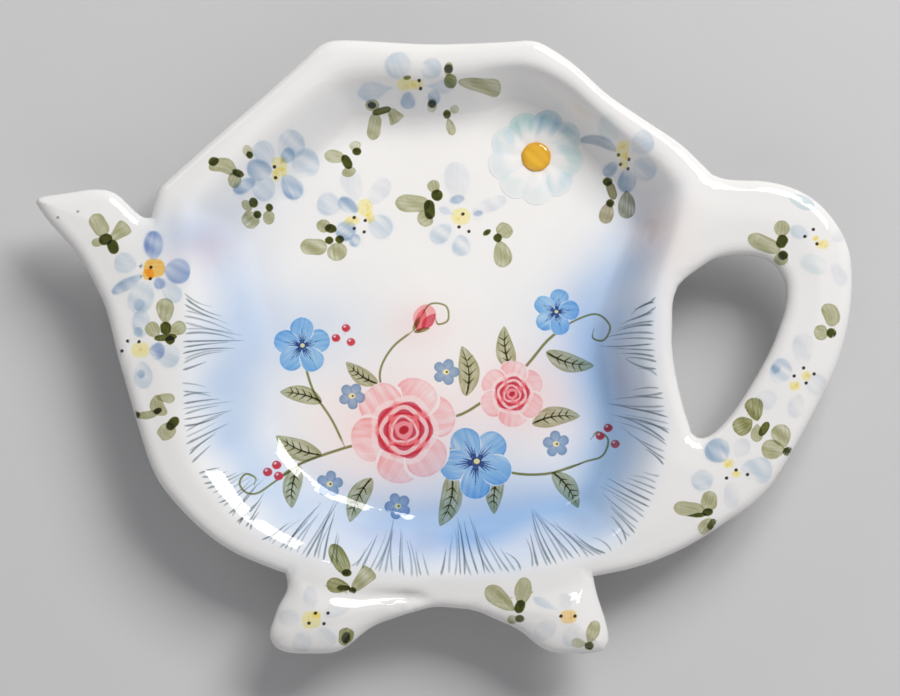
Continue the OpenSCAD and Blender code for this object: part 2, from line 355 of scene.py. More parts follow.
def well_shape():
    """The fall of the wall from 0 to 1, with a broader shoulder at the lower left."""
    crisp, broad = gauss(smooth(WELL_T), 0.75), gauss(smooth(WELL_T), 1.9)
    xx, yy = np.meshgrid(GX, GY)
    ang = np.degrees(np.arctan2(yy, xx - MID[0]))
    k = np.exp(-(((ang + 145 + 180) % 360 - 180) / 50) ** 4) * (1 - smooth((WELL_T - 0.2) / 0.35))
    k = gauss(k, 1.2)
    return crisp * (1 - k) + broad * k


WELL_S = well_shape()
WELL_IN = gauss(WELL_IN, 0.5)
WELL_T = gauss(WELL_T, 0.5)


def sample(a, P):
    """Cubic look-up in a grid over the pot; outside it the value is a's edge."""
    P = np.asarray(P, float)
    fx = np.clip((P[:, 0] - GX[0]) / GRID, 1.0, len(GX) - 3.001)
    fy = np.clip((P[:, 1] - GY[0]) / GRID, 1.0, len(GY) - 3.001)
    ix, iy = fx.astype(int), fy.astype(int)
    u, v = fx - ix, fy - iy

    def w(t):
        return (-0.5 * t + t * t - 0.5 * t ** 3, 1 - 2.5 * t * t + 1.5 * t ** 3,
                0.5 * t + 2 * t * t - 1.5 * t ** 3, -0.5 * t * t + 0.5 * t ** 3)
    wu, wv = w(u), w(v)
    out = np.zeros(len(P))
    for j in range(4):
        for i in range(4):
            out += wv[j] * wu[i] * a[iy + j - 1, ix + i - 1]
    return out


_r = random.Random(11)
WAVES = [(_r.uniform(0.22, 0.62), _r.uniform(0, math.tau), _r.uniform(0, math.tau),
          _r.uniform(0.4, 1.0)) for _ in range(14)]


def waviness(P, amp):
    z = np.zeros(len(P))
    for k, ang, ph, a in WAVES:
        z += a * np.sin(k * (P[:, 0] * math.cos(ang) + P[:, 1] * math.sin(ang)) + ph)
    return amp * z / 3.2


# top height, bottom height, width of the rounding, reach of the blend
LIMB_FORM = {
    "dish_body": (2.0, 2.0, 1.9, 1.0),
    "spout": (1.95, 1.85, 1.9, 6.0),
    "handle": (2.05, 2.0, 1.95, 8.0),
    "left_foot": (2.75, 3.1, 5.2, 4.0),
    "right_foot": (2.75, 3.1, 5.2, 4.0),
}
JOINTS = {k: segments_of(LOOPS[k][0], ~LOOPS[k][1]) for k in LOOPS if k != "dish_body"}


HOLLOW = (-16.0, 12.0, 5.0, -34.8, -0.04, 1.3, -0.04, 1.05)


def foot_hollow(P):
    """A shallow hollow where the left foot leaves the rim."""
    x0, reach, fall, y0, lean, wide, taper, deep = HOLLOW
    u = P[:, 0] - x0
    w = wide + taper * np.clip(u, 0, reach + fall)
    along = np.clip(u / reach, 0, 1)
    along = along * (1 - 0.4 * np.exp(-along * 5)) * (1 - smooth((u - reach + 0.35 * fall) / fall))
    return deep * along * np.exp(-((P[:, 1] - y0 - lean * u) / w) ** 2)


def heights(P, piece):
    """Top and bottom of the casting at each point, in millimetres."""
    P = np.asarray(P, float)
    top, bot, reach, blend = LIMB_FORM[piece]
    if piece == "dish_body":
        d = near_dist(P, 2.4)
    else:
        d = free_dist(P)
    if piece == "dish_body":
        g = np.zeros(len(P))
        s = sample(WELL_S, P)
        low, under = WELL * s, UNDER * s
    else:
        g = smooth(seg_dist(P, *JOINTS[piece]) / blend)
        low = under = np.zeros(len(P))
    ht, hb = 2.0 + (top - 2.0) * g, 2.0 + (bot - 2.0) * g
    # the edge turns over more tightly at the upper right
    ang = np.degrees(np.arctan2(P[:, 1], P[:, 0] - MID[0]))
    k = np.exp(-((ang - 63) / 26) ** 4)
    rr = (1.9 + (reach - 1.9) * g) * (1 - 0.2 * k)
    p = 2.2 + 0.6 * k
    f = (1 - (1 - np.clip(d / rr, 0, 1)) ** p) ** (1 / p)
    ht = ht - 0.42 * (1 - smooth(d / 5.5))
    wob = waviness(P, 0.05) * smooth(d / 3)
    wob = wob - foot_hollow(P)
    return MID_Z + ht * f - low + wob, MID_Z - hb * f - under, d


def piece_of(P):
    """The piece that each point lies on."""
    out = np.array(["dish_body"] * len(P), dtype=object)
    for k in LOOPS:
        if k != "dish_body":
            out[inside(P, LOOPS[k][0])] = k
    return out


def top_of(P):
    P = np.asarray(P, float)
    which = piece_of(P)
    z = np.zeros(len(P))
    for k in LOOPS:
        m = which == k
        if m.any():
            z[m] = heights(P[m], k)[0]
    return z


def normal_of(P):
    P = np.asarray(P, float)
    e = 0.12
    n = len(P)
    q = np.concatenate([P + [e, 0], P - [e, 0], P + [0, e], P - [0, e]])
    z = top_of(q)
    gx = (z[:n] - z[n:2 * n]) / (2 * e)
    gy = (z[2 * n:3 * n] - z[3 * n:]) / (2 * e)
    v = np.stack([-gx, -gy, np.ones(n)], 1)
    return v / np.linalg.norm(v, axis=1)[:, None]


# ----------------------------------------------------------------- painting

# The decoration is laid out on a sheet of 0.1403 mm units, y downwards, with
# its middle (450, 348) near the middle of the dish. It is thrown onto the dish
# from a point EYE over it, so that a mark on the floor of the well lies under
# its place on the sheet, which is level with the rim.
UNIT = 0.14033
EYE = np.array([0.9, -33.98, 561.5])
SHEET_Z = 12.5


def height_map():
    step = 0.6
    gx, gy = np.arange(-59.0, 60.0, step), np.arange(-45.0, 46.0, step)
    xx, yy = np.meshgrid(gx, gy)
    z = top_of(np.stack([xx.ravel(), yy.ravel()], 1)).reshape(xx.shape)
    return gx, gy, step, z


Z_MAP = height_map()


def rough_z(x, y):
    gx, gy, step, m = Z_MAP
    fx = min(max((x - gx[0]) / step, 0), len(gx) - 1.001)
    fy = min(max((y - gy[0]) / step, 0), len(gy) - 1.001)
    i, j = int(fx), int(fy)
    u, v = fx - i, fy - j
    return (m[j, i] * (1 - u) * (1 - v) + m[j, i + 1] * u * (1 - v)
            + m[j + 1, i] * (1 - u) * v + m[j + 1, i + 1] * u * v)


def at(x, y):
    qx, qy = 0.9 + (x - 450.0) * UNIT, -0.4 + (348.0 - y) * UNIT
    px, py = qx, qy
    for _ in range(3):
        k = (EYE[2] - rough_z(px, py)) / (EYE[2] - SHEET_Z)
        px, py = EYE[0] + (qx - EYE[0]) * k, EYE[1] + (qy - EYE[1]) * k
    return np.array([px, py])


STROKES = []


def stroke(x0, y0, x1, y1, width, form, paint, seed=None, bend=0.0, strength=1.0,
           soft=0.11, pool=0.35, streak=0.12, tip=0.0, side=0.0, blot=0.0, flat=None,
           give=0.0):
    """One brush mark from (x0, y0) to (x1, y1) in layout units. With no paint
    it wipes what lies under it back to the sprayed ground."""
    STROKES.append(dict(
        a=at(x0, y0) if flat is None else np.array(flat[0]),
        b=at(x1, y1) if flat is None else np.array(flat[1]), w=width * UNIT / 2, form=form,
        paint=None if paint is None else np.array(paint, float),
        seed=len(STROKES) * 7 + 3 if seed is None else seed, bend=bend * UNIT,
        strength=strength, soft=soft, pool=pool, streak=streak, tip=tip, side=side,
        blot=blot, give=give))


def line(points, width, paint, form="line", strength=0.85, soft=0.08, streak=0.1, sub=5):
    """A fine brush line through the points, in layout units."""
    pts = np.array([at(x, y) for x, y in spline(points, sub)])
    STROKES.append(dict(
        a=pts.min(0), b=pts.max(0), pts=pts, w=width * UNIT / 2, form=form,
        paint=np.array(paint, float), seed=len(STROKES) * 7 + 3, bend=0.0,
        strength=strength, soft=soft, pool=0.05, streak=streak, tip=0.0, side=0.0, blot=0.0,
        give=0.0))


def dab(x, y, rx, ry, angle, form, paint, **k):
    """A mark given by its middle; angle 0 points right, 90 up the sheet."""
    a = math.radians(angle)
    dx, dy = math.cos(a) * rx, -math.sin(a) * rx
    stroke(x - dx, y - dy, x + dx, y + dy, 2 * ry, form, paint, **k)


def half_width(form, t):
    """Half width along a mark, 1 at its widest, and how square its ends are."""
    t = np.clip(t, 0.0, 1.0)
    if form == "petal":
        u = t ** 1.22
        return np.sqrt(np.maximum(0, 1 - (2 * u - 1) ** 2)) ** 0.92
    if form == "drop":
        return np.sin(math.pi * np.minimum(1, t ** 1.7)) ** 0.8
    if form == "leaf":
        return np.sin(math.pi * t ** 0.85) ** 0.72
    if form == "blunt":
        return (1 - np.abs(2 * t - 1) ** 3.2) ** 0.6
    if form == "spoon":
        return (0.40 + 0.60 * np.sin(math.pi / 2 * np.minimum(1, t / 0.66))) \
            * (1 - np.abs(2 * t - 1) ** 3.4) ** 0.55
    if form == "fan":
        return (0.35 + 0.65 * t ** 0.8) * (1 - np.abs(2 * t - 1) ** 8) ** 0.6
    if form == "hair":
        return np.minimum(1, (t / 0.12) ** 0.6) * (1 - t) ** 0.55
    if form == "line":
        return np.minimum(1, np.minimum(t, 1 - t) / 0.12) ** 0.5
    return np.sqrt(np.maximum(0, 1 - (2 * t - 1) ** 2))      # round


def local(s, P):
    d = s["b"] - s["a"]
    L = float(np.linalg.norm(d))
    ux = d / L
    uy = np.array([-ux[1], ux[0]])
    q = P - s["a"]
    t = q @ ux / L
    v = q @ uy - s["bend"] * 4 * t * (1 - t)
    return t, v, L


def mark_noise(seed, a, b):
    r = random.Random(seed)
    out = 0
    for _ in range(4):
        out = out + np.sin(a * r.uniform(2, 6) + b * r.uniform(6, 15) + r.uniform(0, 6.28)) \
            * r.uniform(0.5, 1.0)
    return out / 2.4


def along_path(pts, P):
    """Place along a path, 0 to 1, and signed distance beside it."""
    A, B = pts[:-1], pts[1:]
    D = B - A
    ln = np.linalg.norm(D, axis=1)
    start = np.concatenate([[0], np.cumsum(ln)[:-1]])
    v = P[:, None, :] - A[None]
    t = np.clip((v * D[None]).sum(2) / (ln ** 2)[None], 0, 1)
    q = v - t[..., None] * D[None]
    d = np.sqrt((q ** 2).sum(2))
    k = d.argmin(1)
    n = np.arange(len(P))
    cross = D[k, 0] * v[n, k, 1] - D[k, 1] * v[n, k, 0]
    return (start[k] + t[n, k] * ln[k]) / ln.sum(), d[n, k] * np.sign(cross), ln.sum()


def apply_mark(s, P, C, G):
    """Lays one transparent mark over the colours of the points."""
    w0 = s["w"]
    if "pts" in s:
        t, v, L = along_path(s["pts"], P)
        hw = half_width(s["form"], t) * w0
        dist = hw - np.abs(v)
    else:
        t, v, L = local(s, P)
        wob = 1 + 0.06 * mark_noise(s["seed"], t * 1.7, v * 0 + 1.3)
        hw = half_width(s["form"], t) * w0 * wob
        e = 0.012
        slope = (half_width(s["form"], np.clip(t + e, 0, 1))
                 - half_width(s["form"], np.clip(t - e, 0, 1))) * w0 / (2 * e * L)
        dist = (hw - np.abs(v)) / np.sqrt(1 + slope ** 2)
        dist = np.where((t <= 0) | (t >= 1), -1.0, dist)
    a = smooth(dist / s["soft"] + 0.25)
    m = a > 0
    if not m.any():
        return
    t, v, dist, a = t[m], v[m], dist[m], a[m]
    n = mark_noise(s["seed"] + 1, t * 1.2, v / max(w0, 0.05) * 1.3)
    body = 1 - s["pool"] + s["pool"] * np.exp(-np.maximum(dist, 0) / 0.15)
    fine = mark_noise(s["seed"] + 5, t * 5, v / max(w0, 0.05) * 3.2)
    body = body + s["streak"] * (n + 0.55 * fine) + s["tip"] * (t - 0.45) + s["side"] * v / w0
    if s["blot"]:
        q = P[m]
        body = body + s["blot"] * mark_noise(s["seed"] + 2, q[:, 0] * 0.45, q[:, 1] * 0.22)
    a = np.clip(a * np.maximum(body, 0.06) * s["strength"], 0, 1.2)[:, None]
    if s["paint"] is None:
        a = np.minimum(a, 1)
        C[m] = C[m] * (1 - a) + G[m] * a
    else:
        if s["give"]:
            # thin wet paint spreads off what is already laid
            laid = -np.log(np.maximum(C[m] / G[m], 1e-4)).mean(axis=1, keepdims=True)
            a = a * np.exp(-s["give"] * np.maximum(laid, 0))
        C[m] = C[m] * s["paint"] ** a


def paint_over(P, C):
    P = np.asarray(P, float)
    G = C.copy()
    order = np.argsort(P[:, 0], kind="stable")
    xs = P[order, 0]
    for s in STROKES:
        lo = np.minimum(s["a"], s["b"]) - s["w"] - abs(s["bend"]) - 0.1
        hi = np.maximum(s["a"], s["b"]) + s["w"] + abs(s["bend"]) + 0.1
        i, j = np.searchsorted(xs, lo[0]), np.searchsorted(xs, hi[0])
        idx = order[i:j]
        y = P[idx, 1]
        idx = idx[(y > lo[1]) & (y < hi[1])]
        if len(idx):
            c = C[idx]
            apply_mark(s, P[idx], c, G[idx])
            C[idx] = c
    return C


def mark_points(s):
    """Points that follow a mark, close together at its edge."""
    if "pts" in s:
        pts = s["pts"]
        out = []
        total = 0.0
        for p, q in zip(pts[:-1], pts[1:]):
            d = q - p
            ln = float(np.linalg.norm(d))
            u = d / ln
            nrm = np.array([-u[1], u[0]])
            for k in range(max(1, round(ln / 0.17))):
                c = p + d * k / max(1, round(ln / 0.17))
                for o in (-s["w"] - 0.06, -s["w"] * 0.75, 0.0, s["w"] * 0.75, s["w"] + 0.06):
                    out.append(c + nrm * o)
            total += ln
        return np.array(out)
    d = s["b"] - s["a"]
    L = float(np.linalg.norm(d))
    ux = d / L
    uy = np.array([-ux[1], ux[0]])
    thin = s["w"] < 0.32
    n = max(9, int(L / (0.12 if not thin else 0.2)) + 1)
    t = 0.5 - 0.5 * np.cos(np.linspace(0, math.pi, n))
    if thin:
        t = np.linspace(0, 1, n)
    wob = 1 + 0.06 * mark_noise(s["seed"], t * 1.7, 1.3)
    hw = half_width(s["form"], t) * s["w"] * wob
    mid = s["bend"] * 4 * t * (1 - t)
    out = []

    def put(tt, vv):
        out.append(s["a"] + ux * (tt * L) + uy * vv)

    for sign in (-1, 1):
        x, y = t * L, mid + sign * hw
        dx, dy = np.gradient(x), np.gradient(y)
        m = np.maximum(np.hypot(dx, dy), 1e-9)
        nx, ny = -dy / m * sign, dx / m * sign
        for o in (0.045, -0.05):
            for k in range(n):
                put((x[k] + nx[k] * o) / L, y[k] + ny[k] * o)
    for e, q in ((0.0, -1), (1.0, 1)):
        for o in (0.045, -0.05):
            put(e + q * o / L, 0.0)
        if not thin:
            for v in (0.06, 0.14, 0.24):
                for o in (0.05, 0.16):
                    put(e + q * o / L, v)
                    put(e + q * o / L, -v)
    if thin:
        for k in range(n):
            put(t[k], mid[k])
    else:
        rows = np.linspace(0, 1, max(3, int(L / 0.17)))
        for k, r in enumerate(rows[1:-1]):
            h = float(half_width(s["form"], np.array(r))) * s["w"] - 0.13
            if h <= 0:
                continue
            c = s["bend"] * 4 * r * (1 - r)
            m = max(1, int(2 * h / 0.17))
            for i in range(m + (k % 2)):
                put(r, c - h + 2 * h * (i + 0.5 * (1 - k % 2)) / m)
    return np.array(out)


# Paints as what they let through over white clay (linear)
PALE = (0.35, 0.49, 0.67)
BLUE = (0.16, 0.28, 0.48)
DEEP = (0.075, 0.145, 0.41)
TEAL = (0.42, 0.62, 0.71)
LILAC = (0.55, 0.62, 0.74)
YELLOW = (1.00, 0.925, 0.47)
ORANGE = (1.00, 0.57, 0.12)
LEAF = (0.368, 0.372, 0.186)
LEAF_D = (0.205, 0.212, 0.063)
DARK = (0.046, 0.056, 0.004)
BROWN = (0.12, 0.11, 0.035)
INK = (0.020, 0.018, 0.016)
SMOKE = (0.085, 0.115, 0.130)
TONES = {"p": (PALE, 0.45), "b": (BLUE, 0.60), "d": (DEEP, 0.53), "t": (TEAL, 0.27),
         "l": (LILAC, 0.36)}


def flower(cx, cy, petals, hearts, dots, heart=YELLOW):
    """A small five-petalled flower: petals are (x, y, length, width, tone)."""
    for i, (x, y, ln, wd, tone) in enumerate(petals):
        ang = math.degrees(math.atan2(cy - y, x - cx))
        paint, st = TONES[tone[0]]
        form = "petal" if len(tone) == 1 else {"n": "drop", "r": "round"}[tone[1]]
        lean = (0.24, -0.2, 0.12, -0.3, 0.18)[i % 5]
        dab(x, y, ln * 0.53, wd * 0.555, ang, form, paint, strength=st, pool=0.46, tip=0.34,
            streak=0.11, soft=0.44, side=lean, blot=0.30, give=1.5)
    for x, y, rx, ry in hearts:
        dab(x, y, rx, ry, 5, "blunt", heart, strength=0.95, pool=0.12, streak=0.18, soft=0.24)
        rnd = random.Random(int(x * 5 + y))
        for _ in range(3):
            dab(x + rnd.uniform(-0.5, 0.5) * rx, y + rnd.uniform(-0.5, 0.5) * ry,
                rnd.uniform(1.6, 3.0), rnd.uniform(1.2, 2.0), rnd.uniform(0, 180), "round",
                ORANGE, strength=rnd.uniform(0.12, 0.34), pool=0.0, soft=0.24)
    for x, y in dots:
        dab(x, y, 1.9, 1.7, 30, "round", INK, strength=1.0, pool=0.42, streak=0, soft=0.07)


def leaf(x0, y0, x1, y1, width, form="blunt", paint=LEAF, **k):
    stroke(x0, y0, x1, y1, width, form, paint, pool=0.40, streak=0.15, soft=0.11,
           strength=k.pop("strength", 0.97), blot=0.20, **k)
    # the bristles' trace
    dx, dy = x1 - x0, y1 - y0
    n = math.hypot(dx, dy)
    nx, ny = -dy / n, dx / n
    rnd = random.Random(int(x0 * 7 + y0 * 3))
    for o in (-0.27, -0.12, 0.05, 0.22):
        p, q = rnd.uniform(0.16, 0.38), rnd.uniform(0.14, 0.34)
        stroke(x0 + dx * p + nx * width * o * 0.55, y0 + dy * p + ny * width * o * 0.55,
               x1 - dx * q + nx * width * o, y1 - dy * q + ny * width * o,
               width * 0.09, "line", paint, strength=0.22, pool=0.2, streak=0.2, soft=0.13,
               bend=k.get("bend", 0) * 0.5)


def blob(x, y, rx, ry=None, angle=0.0, paint=DARK):
    dab(x, y, rx, ry if ry else rx, angle, "blunt" if rx > 6 else "round", paint,
        strength=1.0, pool=0.10, streak=0.07, soft=0.17, blot=0.10)


def sprigs():
    # lid, left to right
    flower(409, 83, [(398, 64, 26, 25, "p"), (431, 67, 21, 19, "p"), (376, 89, 38, 17, "pn"),
                     (408, 99, 17, 14, "b"), (439, 85, 30, 12, "pn"), (434, 96, 13, 12, "br")],
           [(405, 83, 9, 6), (417, 83, 7, 5)], [(419, 79), (420.5, 87)])
    blob(407, 76, 4, 2.2, 10, LEAF_D)
    leaf(458, 80, 501, 88, 17, "fan")
    leaf(444, 66, 453, 68, 13, "round")
    blob(448.5, 67, 4.5, 4.5)
    leaf(444, 79, 457, 80, 13, "round", LEAF_D)
    leaf(365, 104, 379, 104, 11, "round")
    blob(371.5, 104, 4.5, 3.2, 0)
    leaf(376, 112, 372, 139, 14)
    stroke(372, 112, 391, 107, 6.5, "blunt", DARK, strength=0.95)
    leaf(390, 108, 398, 121, 18, "fan")
    leaf(427, 103, 437, 105, 13, "round", strength=0.6)
    blob(432, 102.5, 4.2, 3.8)
    leaf(448, 117, 453, 134, 9.5, "spoon")
    leaf(450, 109, 459, 107, 8, "round", strength=0.6)
    blob(447, 113, 4, 4.2)

    flower(278, 167, [(305, 162, 27, 26, "p"), (290, 145, 31, 24, "p"), (264, 152, 25, 20, "p"),
                      (259, 169, 24, 19, "b"), (244, 185, 24, 12, "b"), (264, 188, 24, 20, "p"),
                      (291, 186, 27, 19, "b"), (287, 155, 16, 12, "b")],
           [(279, 163, 8, 7), (281, 171, 6, 5), (275, 175, 4, 6)], [(274, 166), (275, 177)])
    leaf(236, 171, 208, 166, 15, "blunt", bend=-4)
    blob(213, 160.5, 5.5, 4.5, 20)
    leaf(236, 172, 232, 187, 13, "round")
    blob(237.5, 172.5, 4, 6, 75)
    leaf(245, 144, 249, 156, 10, "round", strength=0.55)
    blob(249, 154, 3.6, 3.6)
    leaf(255, 213, 245, 226, 17, "blunt")
    leaf(250, 202, 243, 208, 12, "round")
    blob(253, 202, 4.6, 5)
    blob(257, 214, 4, 4)
    leaf(269, 210, 268, 224, 12, "round")
    blob(269, 207, 3.8, 4.2)

    leaf(344, 157, 324, 154, 13, "blunt", strength=0.75)
    leaf(347, 166, 350, 176, 14, "round")
    blob(346.5, 161, 8, 4.8, -62)
    leaf(356, 150, 354, 140, 12, "round", strength=0.6)
    blob(356.5, 150.5, 4.6, 4.2)

    flower(362, 214, [(352, 184, 31, 20, "l"), (379, 191, 29, 18, "l"), (329, 204, 24, 22, "p"),
                      (348, 205, 22, 14, "b"), (380, 226, 25, 23, "p"), (346, 230, 21, 19, "b"),
                      (355, 240, 13, 11, "b")],
           [(365, 207, 8, 9), (352, 220, 8, 5), (370, 217, 5, 6)],
           [(354, 217), (365, 220), (354, 228), (364, 231.5)])
    leaf(327, 247, 300, 246, 17, "blunt")
    leaf(322, 232, 325, 219, 15, "round")
    leaf(334, 243, 340, 260, 21, "round")
    blob(330.5, 228, 4.6, 6.2, 80)
    blob(329, 240, 4.4, 4.2)
    blob(339.5, 239, 4.6, 4.2)

    flower(461, 217, [(457, 180, 37, 24, "l"), (457, 199, 9, 14, "br"), (447, 211, 18, 8, "pn"),
                      (489, 205, 36, 14, "l"), (478, 213, 10, 6, "br"), (441, 233, 24, 18, "p"),
                      (461, 245, 21, 18, "p")],
           [(461, 216, 10, 9)], [(463, 213.5), (459, 226.5), (469, 231)])
    leaf(430, 204, 395, 202, 18, "blunt")
    leaf(437, 193, 431, 180, 13, "spoon")
    blob(437, 194.5, 5.8, 6.2, 40)
    leaf(430, 213, 420, 224, 17, "round")
    blob(429.5, 209, 10, 5.8, 95)
    leaf(499, 240, 504, 267, 19, "spoon", bend=1)
    leaf(500, 236, 509, 224, 17, "blunt")
    blob(497.7, 237.5, 4.4, 4.6)
    blob(487, 232, 4.6, 2.8, 35)

    flower(624, 154, [(610, 127, 27, 20, "t"), (643, 142, 23, 22, "p"), (645, 168, 24, 20, "p"),
                      (627, 180, 23, 17, "b"), (611, 168, 18, 12, "b")],
           [(623, 148, 7, 8), (625, 160, 5, 8)], [(619, 154), (629.5, 158.5), (621, 163.5), (628.5, 168)])
    stroke(617, 150, 579, 139, 9.5, "blunt", (0.22, 0.29, 0.42), bend=-4.5, strength=0.62,
           pool=0.4, soft=0.3, tip=0.3, blot=0.3)
    stroke(609, 181, 615, 199, 9, "blunt", BROWN, strength=0.75)
    blob(608, 181, 5, 4.5, 0)
    leaf(627, 190, 627, 218, 18, "spoon", (0.30, 0.31, 0.22))
    leaf(610, 201, 604.5, 223, 15, "spoon", (0.34, 0.30, 0.16))
    blob(610.5, 202.5, 4.2, 4.2)

    # spout
    leaf(105, 235, 92, 214, 17, "blunt")
    leaf(111, 239, 127, 224, 19, "fan")
    leaf(102, 241, 91, 243, 9, "round")
    blob(105, 239, 7, 5.6, 20)
    blob(112.5, 246.5, 7.5, 5.6, -70)
    flower(153, 269, [(153, 245, 28, 18, "d"), (177, 271, 25, 24, "d"), (125, 263, 22, 20, "p"),
                      (127, 284, 34, 11, "b"), (141, 297, 33, 24, "p"), (139, 305, 12, 11, "br"),
                      (159, 283, 12, 11, "d"), (170, 290, 28, 17, "p")],
           [(154, 268, 11, 10), (148, 274, 6, 6)], [(150.5, 267), (150, 278.5)], ORANGE)
    for x, y in ((140, 266), (140, 276), (57, 217), (77, 211)):
        dab(x, y, 1.6, 1.5, 0, "round", SMOKE, strength=0.55, pool=0, soft=0.2)
    leaf(165.5, 324, 164.5, 298, 18, "spoon")
    leaf(158, 337, 148, 323, 15, "spoon")
    leaf(169, 334, 185, 324, 14, "spoon")
    blob(165.5, 328, 6.5, 5.6, 90)
    stroke(154, 338.5, 177, 336.5, 7, "blunt", DARK, strength=0.95)
    blob(170, 340, 5, 4.6)
    flower(141, 349, [(141, 324, 27, 18, "p"), (138, 332, 10, 9, "br"), (157, 351, 15, 16, "d"),
                      (168, 356, 23, 22, "p"), (143, 375, 27, 18, "p"), (141, 374, 9, 8, "br")],
           [(140.5, 350, 10, 8)], [(127.6, 341), (139, 341.7), (122, 351)])
    leaf(166, 415, 156, 395, 14, "blunt", bend=4)
    leaf(156, 397, 175, 399, 10, "spoon")
    stroke(136, 415.5, 160, 411, 8, "blunt", (0.30, 0.30, 0.14), strength=0.9, bend=-2)
    blob(137, 415, 3.4, 3.6)
    blob(158, 411, 4.4, 3.2, 25)
    leaf(162, 425, 172, 438, 19, "blunt")
    blob(173, 423.5, 8, 5, 48)

    # handle
    dab(802, 201, 14, 7, -24, "petal", TEAL, strength=0.5, pool=0.4, tip=0.3)
    leaf(783, 236, 782, 220, 16, "round")
    leaf(781, 250, 748.5, 236.5, 16, "blunt")
    leaf(780, 252, 783, 265, 14, "round")
    blob(782.5, 241, 7, 5.6, 65)
    blob(783.5, 255, 5.2, 4.8)
    flower(823, 243, [(800, 232, 19, 13, "p"), (814, 264, 19, 26, "tr"), (839, 274, 24, 14, "l"),
                      (840, 236, 15, 12, "l")],
           [(823, 244, 7, 5), (816, 238, 3.5, 3)], [(805.5, 236), (814, 229), (817.5, 243.5)])
    leaf(834.5, 326, 825, 304, 17, "blunt", bend=-2)
    leaf(828, 332, 814, 333, 15, "blunt")
    blob(831.5, 333, 5, 5)
    flower(803, 378, [(803, 349, 30, 20, "l"), (781, 371, 22, 24, "p"), (767, 399, 20, 19, "l"),
                      (796, 406, 24, 16, "l"), (815, 384, 22, 20, "l"), (776, 368, 9, 12, "br")],
           [(794.5, 386, 6, 5), (806, 376, 5, 5)], [(803.5, 368), (814, 374), (794, 376), (806, 383)])
    leaf(757, 421, 752, 398, 18, "spoon", LEAF_D)
    leaf(752, 420, 734, 431, 19, "spoon", LEAF_D)
    leaf(757, 424, 756, 442, 12, "spoon")
    stroke(768, 422, 759.5, 436, 8, "blunt", DARK, strength=0.95)
    leaf(785, 447, 777, 425, 20, "spoon")
    leaf(785, 450, 761, 449, 20, "spoon")
    blob(787, 451.5, 5, 4.4, 20)
    flower(729, 466, [(717, 451, 24, 24, "b"), (741, 448, 20, 16, "l"), (702, 480, 22, 20, "p"),
                      (731, 495, 26, 16, "l"), (756, 470, 30, 24, "p")],
           [(728, 463.5, 6, 5), (736, 474, 5, 4)], [(735.5, 470), (726, 478), (747, 474.5)])
    leaf(704, 511, 673, 507, 15, "blunt")
    leaf(707, 511, 710, 491, 17, "round")
    stroke(684, 516, 706, 514.5, 5, "drop", DARK, strength=0.9)
    blob(707, 512, 5.5, 4, 10)
    leaf(710, 518, 701, 534, 15, "spoon")
    stroke(714, 519, 707.5, 529, 7, "blunt", DARK, strength=0.92)

    # feet
    leaf(348, 574, 332, 544, 16, "blunt", LEAF_D)
    blob(347, 572.5, 5, 4, 0)
    leaf(353, 590, 372, 569, 20, "fan")
    leaf(351, 588, 327, 583, 15, "spoon", LEAF_D)
    stroke(337, 587.5, 351, 587.5, 5.5, "blunt", DARK, strength=0.95)
    blob(353, 590, 3.8, 3.4)
    flower(312, 620, [(311, 598, 24, 14, "l"), (337, 609, 28, 14, "l"), (303, 641, 22, 18, "l"),
                      (290, 617, 20, 16, "l"), (327, 636, 22, 16, "l")],
           [(311.7, 619.5, 10, 9), (317, 614, 5, 4)],
           [(309.5, 622.5), (316, 612.5), (328.5, 612.5), (324.5, 623)])
    leaf(345, 645, 348, 627, 15, "blunt", LEAF_D)
    blob(346.5, 637, 6, 4.4, 75)
    leaf(514, 610, 486, 587, 18, "spoon")
    leaf(520, 607, 525, 577, 17, "spoon")
    blob(519.5, 606, 7, 5, 65)
    leaf(517, 618, 507, 620, 9, "round")
    blob(519.5, 618, 4.6, 4)
    flower(568, 615, [(546, 604, 30, 9, "pn"), (565, 601, 16, 12, "l"), (545, 629, 24, 18, "l"),
                      (570, 636, 20, 16, "l")],
           [(568, 616, 9, 7)], [(560.5, 615.5), (574.5, 615.5)], (1.0, 0.72, 0.34))
    leaf(588, 643, 596, 620, 13, "spoon")
    leaf(586, 644, 571, 641, 10, "spoon", strength=0.6)
    blob(588.5, 645, 4.6, 4.2)


ROSE_L = (0.98, 0.42, 0.44)
ROSE_M = (0.90, 0.20, 0.25)
ROSE_D = (0.55, 0.045, 0.085)
SKY = (0.15, 0.42, 0.82)
NIGHT = (0.045, 0.075, 0.22)


